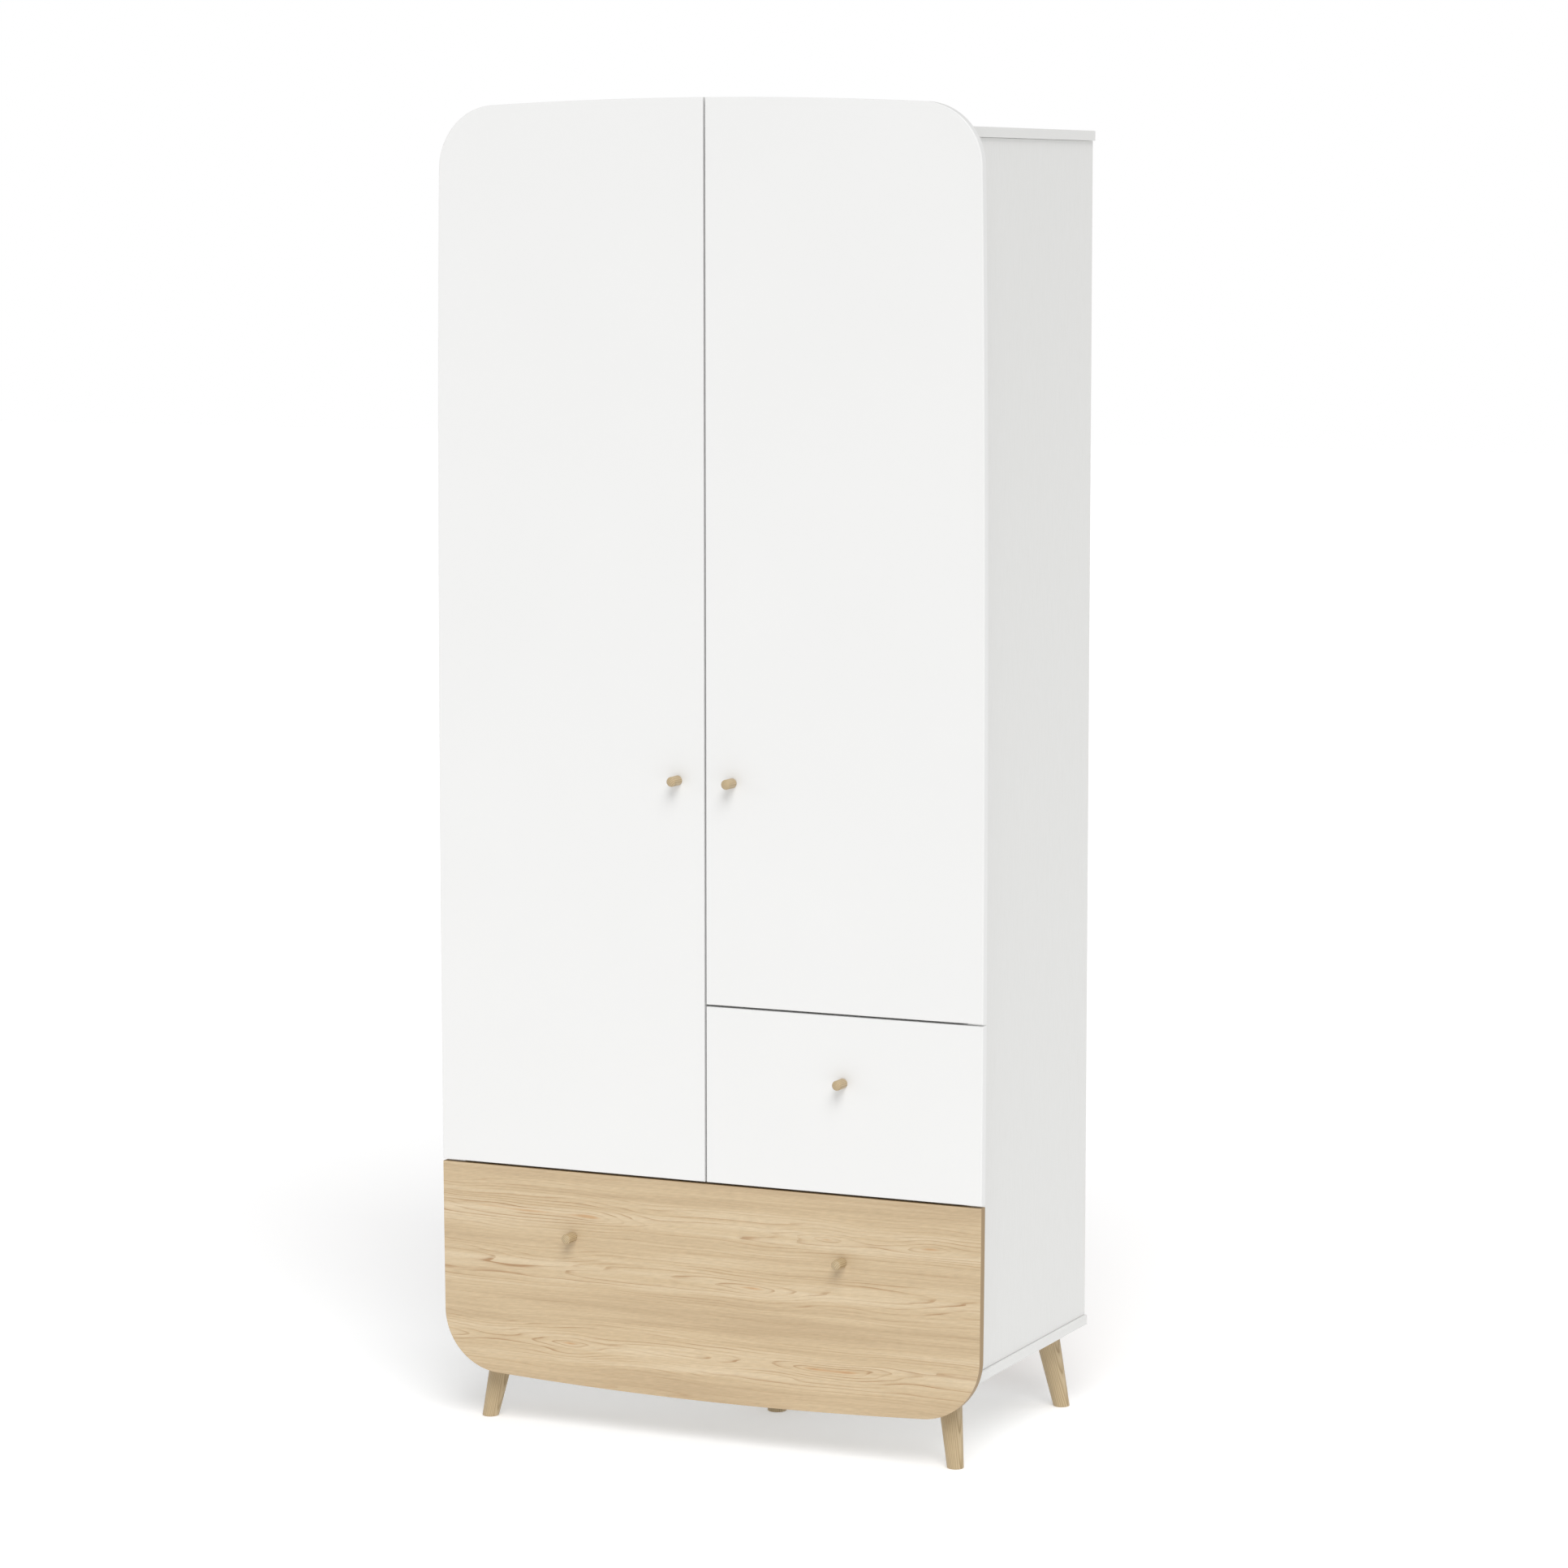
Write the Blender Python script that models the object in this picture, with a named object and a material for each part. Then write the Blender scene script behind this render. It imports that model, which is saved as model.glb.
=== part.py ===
"""Two-door wardrobe with one small and one large drawer.

X runs to the right as seen from the front, Y runs from the doors to the back and Z runs up. The origin is
on the floor, under the middle of the box that holds the whole wardrobe. All sizes are in metres.

The carcass is a box of boards on legs. Its fronts lie before it in one plane: two doors, a small drawer
under the right door and a large drawer across the full width. Together they form one slightly bowed
panel with rounded corners, which is larger than the carcass on all four sides.
"""

import math

import bmesh
import bpy
import numpy as np
from mathutils import Matrix, Vector

MM = 0.001

# ---- Fronts -------------------------------------------------------------------------------------
FRONT_WIDTH = 900 * MM
FRONT_HEIGHT = 1954 * MM
FRONT_THICKNESS = 15 * MM
FRONT_GAP = 3.2 * MM
FRONT_EDGE = 1.0 * MM
FRONT_DROP = 58 * MM  # how far the fronts reach below the carcass, at the middle
FRONT_RISE = 45 * MM  # and above it
CORNER_RADIUS = 95 * MM
CORNER_STEPS = 12
CORNER_PASSES = 20  # rounds of stepping in, enough to settle a corner's middle
TOP_RADIUS = 7100 * MM
BOTTOM_RADIUS = 6700 * MM
END_STEPS = 8  # straight steps in half of the top or bottom edge
WIDEST_HEIGHT = 828 * MM  # above the fronts' lower edge
SIDE_BOW = 4.18 * MM  # how far the side edge has come in, BOW_SPAN above or below the widest height
SIDE_BOW_END = 1.10 * MM  # and the part of it that grows with the fourth power
BOW_SPAN = 900 * MM
SIDE_STEPS = 22
LARGE_FRONT_HEIGHT = 334 * MM
SMALL_FRONT_HEIGHT = 267 * MM

# ---- Carcass ------------------------------------------------------------------------------------
BOARD = 15 * MM
BOARD_EDGE = 0.5 * MM
CARCASS_DEPTH = 477.5 * MM
FRONT_OVERHANG = 30.5 * MM  # fronts past the side panels' outer faces, at the widest height
PANEL_OVERHANG = 4 * MM  # top and bottom panels past the side panels
DOOR_GAP = 2.5 * MM  # between the fronts and the carcass
BACK_THICKNESS = 3 * MM
BACK_INSET = 10 * MM  # from the carcass's rear edge to the back panel
GROOVE_DEPTH = 5.5 * MM
FIT = 0.3 * MM  # gap between pieces that touch
SHELF_SETBACK = 15 * MM
SHELF_EDGE_GAP = 0.8 * MM  # an adjustable shelf's play at each end
SHELF_COUNT = 2
HAT_SHELF_DROP = 294 * MM  # from the top panel's underside to the hat shelf's top
RAIL_DROP = 60 * MM  # from the hat shelf's underside to the rail's middle
RAIL_DIAMETER = 25 * MM
RAIL_WALL = 1.5 * MM
RAIL_END_GAP = 3 * MM

# ---- Legs ---------------------------------------------------------------------------------------
LEG_HEIGHT = 128 * MM
LEG_FOOT_DIAMETER = 25 * MM
LEG_TOP_DIAMETER = 39 * MM
LEG_INSET_X = 48 * MM  # leg's top, from the side panel's outer face
LEG_INSET_FRONT = 44.5 * MM  # leg's top, from the carcass's front
LEG_INSET_REAR = 45 * MM
LEG_SPLAY = 20 * MM  # the foot stands this much further out, both ways
CENTRE_FOOT_DIAMETER = 30 * MM
ROUND_STEPS = 20  # sides of legs, knobs and the rail

# ---- Knobs --------------------------------------------------------------------------------------
KNOB_DIAMETER = 15 * MM
KNOB_LENGTH = 27 * MM
KNOB_END_ROUND = 4 * MM
KNOB_ROUND_STEPS = 3
DOOR_KNOB_HEIGHT = 943 * MM  # above the fronts' lower edge
DOOR_KNOB_INSET = 43.4 * MM  # from the door's edge at the middle
DRAWER_KNOB_DROP = 100 * MM  # below the drawer front's upper edge

# ---- Drawers ------------------------------------------------------------------------------------
BOX_BOARD = 12 * MM
BOX_DEPTH = 400 * MM
BOX_SIDE_GAP = 12.5 * MM
LARGE_BOX_HEIGHT = 180 * MM
SMALL_BOX_HEIGHT = 150 * MM
BOX_LIFT = 22 * MM  # box's lower edge above the floor of its space
BOX_BOTTOM_THICKNESS = 4 * MM
BOX_BOTTOM_LIFT = 12 * MM  # bottom board above the box's lower edge
BOX_GROOVE_DEPTH = 6 * MM

# ---- Runners ------------------------------------------------------------------------------------
RUNNER_STEEL = 1.2 * MM
RUNNER_LENGTH = 400 * MM
RUNNER_SETBACK = 2 * MM  # from the carcass's front
RUNNER_HEIGHT = 30 * MM
RUNNER_LIFT = 1 * MM  # cabinet member above the box's lower edge
RUNNER_FLANGE = 9 * MM
TRACK_REACH = 8.3 * MM
RUNNER_FOOT = 11 * MM  # drawer member's flange under the box side

# ---- Hinges -------------------------------------------------------------------------------------
HINGE_COUNT = 3
HINGE_END_DISTANCE = 120 * MM  # first and last hinge, from the ends of the carcass opening
HINGE_STEEL = 1.2 * MM
HINGE_HEIGHT = 32 * MM
KNUCKLE_RADIUS = 3.3 * MM
KNUCKLE_CLEARANCE = 1.2 * MM  # from the side panel's outer face
KNUCKLE_SPLIT = 0.4 * MM  # between the two leaves, along the pin
KNUCKLE_STEPS = 12
PIN_RADIUS = 1.5 * MM
PIN_HEAD_RADIUS = 2.7 * MM
PIN_HEAD_HEIGHT = 1.2 * MM
PIN_STEPS = 10
ARM_LENGTH = 46 * MM  # carcass leaf, along the side panel
CUP_RADIUS = 17.5 * MM
CUP_WALL = 1.5 * MM
CUP_DEPTH = 12 * MM
CUP_STEPS = 24
CUP_INSET = 22.5 * MM  # cup's middle, from the side panel's inner face
FLANGE_WIDTH = 36 * MM
FLANGE_HEIGHT = 60 * MM

# ---- Places worked out from the sizes ------------------------------------------------------------
WHOLE_DEPTH = KNOB_LENGTH + FRONT_THICKNESS + DOOR_GAP + CARCASS_DEPTH
FACE_Y = KNOB_LENGTH - WHOLE_DEPTH / 2  # the fronts' face
FRONT_BACK_Y = FACE_Y + FRONT_THICKNESS
CARCASS_FRONT_Y = FRONT_BACK_Y + DOOR_GAP
CARCASS_REAR_Y = CARCASS_FRONT_Y + CARCASS_DEPTH
BACK_FRONT_Y = CARCASS_REAR_Y - BACK_INSET - BACK_THICKNESS
BACK_REAR_Y = BACK_FRONT_Y + BACK_THICKNESS
INNER_REAR_Y = BACK_FRONT_Y - FIT

SIDE_OUTER_X = FRONT_WIDTH / 2 - FRONT_OVERHANG
SIDE_INNER_X = SIDE_OUTER_X - BOARD
PANEL_END_X = SIDE_OUTER_X + PANEL_OVERHANG

FRONT_BOTTOM_Z = LEG_HEIGHT - FRONT_DROP
FRONT_TOP_Z = FRONT_BOTTOM_Z + FRONT_HEIGHT
CARCASS_TOP_Z = FRONT_TOP_Z - FRONT_RISE
FLOOR_Z = LEG_HEIGHT + BOARD  # bottom panel's upper face
CEILING_Z = CARCASS_TOP_Z - BOARD
LARGE_TOP_Z = FRONT_BOTTOM_Z + LARGE_FRONT_HEIGHT
SMALL_BOTTOM_Z = LARGE_TOP_Z + FRONT_GAP
SMALL_TOP_Z = SMALL_BOTTOM_Z + SMALL_FRONT_HEIGHT
RIGHT_DOOR_BOTTOM_Z = SMALL_TOP_Z + FRONT_GAP
DECK_Z = LARGE_TOP_Z + FRONT_GAP / 2 - BOARD / 2  # underside of the deck behind the gap
DRAWER_SHELF_Z = SMALL_TOP_Z + FRONT_GAP / 2 - BOARD / 2
HAT_SHELF_Z = CEILING_Z - HAT_SHELF_DROP - BOARD
RAIL_Z = HAT_SHELF_Z - RAIL_DROP
RAIL_Y = (CARCASS_FRONT_Y + BACK_FRONT_Y) / 2

PIVOT_X = SIDE_OUTER_X + KNUCKLE_CLEARANCE + KNUCKLE_RADIUS
PIVOT_Y = FRONT_BACK_Y + FIT + KNUCKLE_RADIUS
CUP_X = SIDE_INNER_X - CUP_INSET

LEFT = -1
RIGHT = 1

SMOOTH_BELOW = math.radians(35)  # flatter edges of round pieces are shaded smooth
SOFTEN_ABOVE = math.radians(40)  # sharper edges of boards are softened


# ---- Materials ----------------------------------------------------------------------------------
def linear(hex_colour):
    """An sRGB hex colour as linear red, green, blue and alpha."""
    parts = [int(hex_colour[i : i + 2], 16) / 255 for i in (0, 2, 4)]
    return [c / 12.92 if c <= 0.04045 else ((c + 0.055) / 1.055) ** 2.4 for c in parts] + [1.0]


FINISHES = {  # colour, roughness, metallic
    "white_lacquer": ("F2F2F2", 0.40, 0.0),
    "white_melamine": ("EBEBE9", 0.50, 0.0),
    "pine_decor": ("D9C4A0", 0.55, 0.0),
    "turned_pine": ("CBB38C", 0.50, 0.0),
    "white_hardboard": ("E8E8E4", 0.60, 0.0),
    "nickel_steel": ("B8B8B4", 0.30, 1.0),
    "white_steel": ("E9E9E6", 0.45, 0.0),
    "chrome_tube": ("C9C9C9", 0.20, 1.0),
}


def make_material(name, finish):
    colour, roughness, metallic = FINISHES[finish]
    material = bpy.data.materials.new(f"{name}_{finish}")
    material.use_nodes = True
    shader = material.node_tree.nodes["Principled BSDF"]
    shader.inputs["Base Color"].default_value = linear(colour)
    shader.inputs["Roughness"].default_value = roughness
    shader.inputs["Metallic"].default_value = metallic
    return material


# ---- Making objects -----------------------------------------------------------------------------
def make_empty(name, place):
    empty = bpy.data.objects.new(name, None)
    empty.location = place
    bpy.context.collection.objects.link(empty)
    return empty


def add_object(name, mesh, place, parent=None, finish=None):
    """Link an object at a world place, under its parent empty."""
    obj = bpy.data.objects.new(name, mesh)
    obj.location = place
    if parent is not None:
        obj.parent = parent
        obj.matrix_parent_inverse = Matrix.Translation(-parent.location)
    if finish is not None:
        obj.data.materials.clear()
        obj.data.materials.append(make_material(name, finish))
    bpy.context.collection.objects.link(obj)
    return obj


def hide_tool(obj):
    """Mark an object that only cuts or joins others."""
    obj.hide_render = True
    obj.display_type = "WIRE"
    return obj


def mesh_from(bm, name, smooth=False):
    bmesh.ops.recalc_face_normals(bm, faces=bm.faces)
    mesh = bpy.data.meshes.new(name)
    bm.to_mesh(mesh)
    bm.free()
    if smooth:
        mesh.shade_smooth()
        mesh.set_sharp_from_angle(angle=SMOOTH_BELOW)
    return mesh


def box_mesh(name, size):
    """A block of the given size around its own origin."""
    bm = bmesh.new()
    bmesh.ops.create_cube(bm, size=1.0, matrix=Matrix.Diagonal((*size, 1.0)))
    return mesh_from(bm, name)


def prism_mesh(name, outline, direction, low, high, holes=(), smooth=False):
    """A flat outline carried along one axis, from low to high.

    The outline's two numbers are the coordinates on the two other axes, in X, Y, Z order.
    """
    axis = "XYZ".index(direction)
    bm = bmesh.new()
    edges = []
    for loop in (outline, *holes):
        points = [Vector(np.insert(point, axis, low)) for point in loop]
        verts = [bm.verts.new(point) for point in points]
        edges += [bm.edges.new((verts[i - 1], verts[i])) for i in range(len(verts))]
    if holes:
        bmesh.ops.triangle_fill(bm, use_beauty=True, use_dissolve=False, edges=edges)
    else:
        bm.faces.new(bm.verts)
    grown = bmesh.ops.extrude_face_region(bm, geom=bm.faces[:], use_keep_orig=True)
    moved = [item for item in grown["geom"] if isinstance(item, bmesh.types.BMVert)]
    step = [0.0, 0.0, 0.0]
    step[axis] = high - low
    bmesh.ops.translate(bm, vec=step, verts=moved)
    return mesh_from(bm, name, smooth)


def turned_mesh(name, profile, axis, steps):
    """A closed turned shape: (radius, height) pairs from one end on the axis to the other."""
    bm = bmesh.new()
    turn = Vector((0, 0, 1)).rotation_difference(Vector(axis)).to_matrix()
    rings = []
    for radius, height in profile:
        count = steps if radius > 0 else 1
        angles = [2 * math.pi * i / steps for i in range(count)]
        points = [turn @ Vector((radius * math.cos(a), radius * math.sin(a), height)) for a in angles]
        rings.append([bm.verts.new(point) for point in points])
    for low, high in zip(rings, rings[1:]):
        for i in range(steps):
            low_pair = [low[i % len(low)], low[(i + 1) % len(low)]]
            high_pair = [high[(i + 1) % len(high)], high[i % len(high)]]
            bm.faces.new(dict.fromkeys(low_pair + high_pair))
    return mesh_from(bm, name, smooth=True)


def soften_edges(obj, width):
    bevel = obj.modifiers.new("edges", "BEVEL")
    bevel.width = width
    bevel.segments = 1
    bevel.limit_method = "ANGLE"
    bevel.angle_limit = SOFTEN_ABOVE


def apply_tool(obj, tool, operation):
    """Cut or join with a Boolean that stays live."""
    boolean = obj.modifiers.new(f"{operation.lower()}_{tool.name}", "BOOLEAN")
    boolean.operation = operation
    boolean.object = tool


def board(name, x, y, z, parent, finish, edge=BOARD_EDGE):
    """A board between low and high limits on each axis, with softened edges."""
    limits = np.array([x, y, z])
    mesh = box_mesh(name, limits[:, 1] - limits[:, 0])
    obj = add_object(name, mesh, limits.mean(axis=1), parent, finish)
    if edge:
        soften_edges(obj, edge)
    return obj


# ---- Outline of the fronts ----------------------------------------------------------------------
def side_edge(z):
    """Half width of the fronts at height z: a parabola with a small fourth-power part."""
    u = (z - FRONT_BOTTOM_Z - WIDEST_HEIGHT) / BOW_SPAN
    return FRONT_WIDTH / 2 - SIDE_BOW * u**2 - SIDE_BOW_END * u**4


def top_edge(x):
    return FRONT_TOP_Z - TOP_RADIUS + math.sqrt(TOP_RADIUS**2 - x**2)


def bottom_edge(x):
    return FRONT_BOTTOM_Z + BOTTOM_RADIUS - math.sqrt(BOTTOM_RADIUS**2 - x**2)


def slope(curve, at, step=1 * MM):
    return (curve(at + step) - curve(at - step)) / (2 * step)


def corner_arc(end_edge, up):
    """Round corner at the right, from the end edge to the side edge.

    Its middle lies one radius inside both edges. It is found by stepping in from each edge in turn.
    """
    x, z = FRONT_WIDTH / 2 - CORNER_RADIUS, end_edge(0) - up * CORNER_RADIUS
    for _ in range(CORNER_PASSES):
        side_angle = -math.atan(slope(side_edge, z))
        end_angle = math.atan(up * slope(end_edge, x))
        touch_z = z + CORNER_RADIUS * math.sin(side_angle)
        touch_x = x - CORNER_RADIUS * math.sin(end_angle)
        x = side_edge(touch_z) - CORNER_RADIUS * math.cos(side_angle)
        z = end_edge(touch_x) - up * CORNER_RADIUS * math.cos(end_angle)
    turns = np.linspace(up * math.pi / 2 + up * end_angle, side_angle, CORNER_STEPS + 1)
    return [(x + CORNER_RADIUS * math.cos(a), z + CORNER_RADIUS * math.sin(a)) for a in turns]


def fronts_outline():
    """The joint outline of all fronts, anticlockwise from the middle of the lower edge."""
    low = corner_arc(bottom_edge, -1)
    high = corner_arc(top_edge, 1)[::-1]
    half = [(x, bottom_edge(x)) for x in np.linspace(0, low[0][0], END_STEPS + 1)[:-1]]
    half += low
    half += [(side_edge(z), z) for z in np.linspace(low[-1][1], high[0][1], SIDE_STEPS + 1)[1:-1]]
    half += high
    half += [(x, top_edge(x)) for x in np.linspace(high[-1][0], 0, END_STEPS + 1)[1:]]
    return half + [(-x, z) for x, z in half[-2:0:-1]]


def clipped(outline, axis, limit, keep):
    """The part of a convex outline above (keep = 1) or below (keep = -1) a limit on one axis."""
    kept = []
    for i, point in enumerate(outline):
        before = outline[i - 1]
        inside, was_inside = keep * (point[axis] - limit) > 0, keep * (before[axis] - limit) > 0
        if inside != was_inside:
            share = (limit - before[axis]) / (point[axis] - before[axis])
            kept.append(tuple(np.add(before, share * np.subtract(point, before))))
        if inside:
            kept.append(point)
    return kept


def make_front(name, cuts, parent, finish):
    """A front board: the joint outline cut at the gaps around it."""
    outline = fronts_outline()
    for axis, limit, keep in cuts:
        outline = clipped(outline, axis, limit, keep)
    middle = np.array(outline).mean(axis=0)
    place = Vector((middle[0], FACE_Y, middle[1]))
    local = [tuple(np.subtract(point, middle)) for point in outline]
    mesh = prism_mesh(name, local, "Y", 0.0, FRONT_THICKNESS)
    front = add_object(name, mesh, place, parent, finish)
    soften_edges(front, FRONT_EDGE)
    return front


# ---- Carcass ------------------------------------------------------------------------------------
def make_carcass(root):
    depth = (CARCASS_FRONT_Y, CARCASS_REAR_Y)
    inner_depth = (CARCASS_FRONT_Y, INNER_REAR_Y)
    side_height = (FLOOR_Z + FIT, CEILING_Z - FIT)
    melamine = "white_melamine"
    panel_width = (-PANEL_END_X, PANEL_END_X)
    grooved = [
        board("top_panel", panel_width, depth, (CEILING_Z, CARCASS_TOP_Z), root, melamine),
        board("bottom_panel", panel_width, depth, (LEG_HEIGHT, FLOOR_Z), root, melamine),
        board("left_side_panel", (-SIDE_OUTER_X, -SIDE_INNER_X), depth, side_height, root, melamine),
        board("right_side_panel", (SIDE_INNER_X, SIDE_OUTER_X), depth, side_height, root, melamine),
    ]
    cut_back_groove(grooved)
    half_board = BOARD / 2
    deck_width = (-SIDE_INNER_X + FIT, SIDE_INNER_X - FIT)
    board("drawer_deck", deck_width, inner_depth, (DECK_Z, DECK_Z + BOARD), root, melamine)
    partition_height = (DECK_Z + BOARD + FIT, CEILING_Z - FIT)
    board("centre_partition", (-half_board, half_board), inner_depth, partition_height, root, melamine)
    right_bay = (half_board + FIT, SIDE_INNER_X - FIT)
    shelf_height = (DRAWER_SHELF_Z, DRAWER_SHELF_Z + BOARD)
    board("small_drawer_shelf", right_bay, inner_depth, shelf_height, root, melamine)
    reach = GROOVE_DEPTH - FIT
    board(
        "back_panel",
        (-SIDE_INNER_X - reach, SIDE_INNER_X + reach),
        (BACK_FRONT_Y, BACK_REAR_Y),
        (FLOOR_Z - reach, CEILING_Z + reach),
        root,
        "white_hardboard",
        edge=0,
    )


def cut_back_groove(boards):
    """One block as large as the back panel and its play cuts the groove in all four boards."""
    size = (
        2 * (SIDE_INNER_X + GROOVE_DEPTH),
        BACK_THICKNESS + 2 * FIT,
        CEILING_Z - FLOOR_Z + 2 * GROOVE_DEPTH,
    )
    place = (0, (BACK_FRONT_Y + BACK_REAR_Y) / 2, (FLOOR_Z + CEILING_Z) / 2)
    tool = hide_tool(add_object("back_groove_tool", box_mesh("back_groove_tool", size), place))
    for grooved in boards:
        apply_tool(grooved, tool, "DIFFERENCE")


def make_fittings(root):
    """Hat shelf and rail on the left, adjustable shelves on the right."""
    shelf_depth = (CARCASS_FRONT_Y + SHELF_SETBACK, INNER_REAR_Y)
    hat_width = (-SIDE_INNER_X + FIT, -BOARD / 2 - FIT)
    hat_height = (HAT_SHELF_Z, HAT_SHELF_Z + BOARD)
    board("hat_shelf", hat_width, shelf_depth, hat_height, root, "white_melamine")
    make_rail(root)
    shelf_width = (BOARD / 2 + SHELF_EDGE_GAP, SIDE_INNER_X - SHELF_EDGE_GAP)
    bay_low = DRAWER_SHELF_Z + BOARD
    opening = (CEILING_Z - bay_low - SHELF_COUNT * BOARD) / (SHELF_COUNT + 1)
    for i, name in enumerate(("adjustable_shelf_lower", "adjustable_shelf_upper")[:SHELF_COUNT]):
        low = bay_low + (i + 1) * opening + i * BOARD
        board(name, shelf_width, shelf_depth, (low, low + BOARD), root, "white_melamine")


def make_rail(root):
    """A round tube, open at both ends."""
    left, right = -SIDE_INNER_X + RAIL_END_GAP, -BOARD / 2 - RAIL_END_GAP
    circle = circle_points(ROUND_STEPS)
    outer = [(RAIL_DIAMETER / 2 * x, RAIL_DIAMETER / 2 * z) for x, z in circle]
    bore = RAIL_DIAMETER / 2 - RAIL_WALL
    inner = [(bore * x, bore * z) for x, z in circle]
    half = (right - left) / 2
    mesh = prism_mesh("hanging_rail", outer, "X", -half, half, holes=[inner], smooth=True)
    add_object("hanging_rail", mesh, ((left + right) / 2, RAIL_Y, RAIL_Z), root, "chrome_tube")


def circle_points(steps, start=0.0, turn=2 * math.pi):
    """Points on a unit circle, evenly spread over a turn; a full turn doesn't repeat its first point."""
    full = math.isclose(turn, 2 * math.pi)
    angles = start + turn * np.arange(steps + (not full)) / steps
    return [(math.cos(a), math.sin(a)) for a in angles]


# ---- Legs ---------------------------------------------------------------------------------------
def leg_mesh(name, foot_radius, top_radius, height, lean):
    """A tapered round leg whose axis leans by lean (x, y) from foot to top, cut level at both ends."""
    axis = Vector((lean[0], lean[1], height))
    turn = Vector((0, 0, 1)).rotation_difference(axis).to_matrix()
    bm = bmesh.new()
    rings = [[], []]
    for x, y in circle_points(ROUND_STEPS):
        foot = turn @ Vector((foot_radius * x, foot_radius * y, 0))
        top = turn @ Vector((top_radius * x, top_radius * y, 0)) + axis
        along = top - foot
        for ring, level in zip(rings, (0.0, height)):
            point = foot + along * ((level - foot.z) / along.z)
            ring.append(bm.verts.new(point))
    bm.faces.new(rings[0])
    bm.faces.new(rings[1])
    for i in range(ROUND_STEPS):
        bm.faces.new((rings[0][i - 1], rings[0][i], rings[1][i], rings[1][i - 1]))
    return mesh_from(bm, name, smooth=True)


def make_legs(root):
    height = LEG_HEIGHT - FIT
    top_x = SIDE_OUTER_X - LEG_INSET_X
    rows = {
        "front": (CARCASS_FRONT_Y + LEG_INSET_FRONT, -1),
        "rear": (CARCASS_REAR_Y - LEG_INSET_REAR, 1),
    }
    for row, (top_y, outward) in rows.items():
        for side, sign in (("left", LEFT), ("right", RIGHT)):
            name = f"leg_{row}_{side}"
            lean = (-sign * LEG_SPLAY, -outward * LEG_SPLAY)
            mesh = leg_mesh(name, LEG_FOOT_DIAMETER / 2, LEG_TOP_DIAMETER / 2, height, lean)
            add_object(name, mesh, (sign * top_x - lean[0], top_y - lean[1], 0), root, "turned_pine")
    radius = CENTRE_FOOT_DIAMETER / 2
    middle_y = (CARCASS_FRONT_Y + CARCASS_REAR_Y) / 2
    mesh = leg_mesh("centre_foot", radius, radius, height, (0, 0))
    add_object("centre_foot", mesh, (0, middle_y, 0), root, "turned_pine")


# ---- Knobs --------------------------------------------------------------------------------------
def knob_mesh():
    """A peg: a straight round rod with a rounded outer end, standing along -Y from its origin."""
    radius = KNOB_DIAMETER / 2
    flat = radius - KNOB_END_ROUND
    straight = KNOB_LENGTH - KNOB_END_ROUND
    profile = [(0.0, FIT), (radius, FIT)]
    for c, s in circle_points(KNOB_ROUND_STEPS, 0.0, math.pi / 2):
        profile.append((flat + KNOB_END_ROUND * c, straight + KNOB_END_ROUND * s))
    profile.append((0.0, KNOB_LENGTH))
    return turned_mesh("knob", profile, (0, -1, 0), ROUND_STEPS)


def make_knob(name, x, z, parent):
    add_object(name, knob_mesh(), (x, FACE_Y, z), parent, "turned_pine")


# ---- Hinges -------------------------------------------------------------------------------------
def hinge_heights(low, high):
    """Middle heights of a door's hinges, spread evenly between its end distances."""
    return np.linspace(low + HINGE_END_DISTANCE, high - HINGE_END_DISTANCE, HINGE_COUNT)


def knuckle_outline(near, far):
    """The round of a knuckle about the pin, open where a strap between depths near and far joins it."""
    start = math.pi + math.asin(-near / KNUCKLE_RADIUS)
    end = math.pi + math.asin(-far / KNUCKLE_RADIUS)
    arc = circle_points(KNUCKLE_STEPS, start, 2 * math.pi - (start - end))
    return [(KNUCKLE_RADIUS * x, KNUCKLE_RADIUS * y) for x, y in arc]


def mirrored(points, sign):
    return [(sign * x, y) for x, y in points]


def pin_bore():
    bore = PIN_RADIUS + FIT
    return [(bore * x, bore * y) for x, y in circle_points(PIN_STEPS)]


def carcass_leaf_mesh(sign):
    """Arm on the side panel's inner face, strap round its front edge and lower knuckle, as one bent steel."""
    near = CARCASS_FRONT_Y - FIT - HINGE_STEEL - PIVOT_Y
    far = near + HINGE_STEEL
    face = SIDE_INNER_X - FIT - PIVOT_X
    rear = CARCASS_FRONT_Y + ARM_LENGTH - PIVOT_Y
    outline = knuckle_outline(near, far)
    outline += [(face, far), (face, rear), (face - HINGE_STEEL, rear), (face - HINGE_STEEL, near)]
    low, high = -HINGE_HEIGHT / 2, -KNUCKLE_SPLIT / 2
    return prism_mesh("carcass_leaf", mirrored(outline, sign), "Z", low, high, holes=[pin_bore()])


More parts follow.
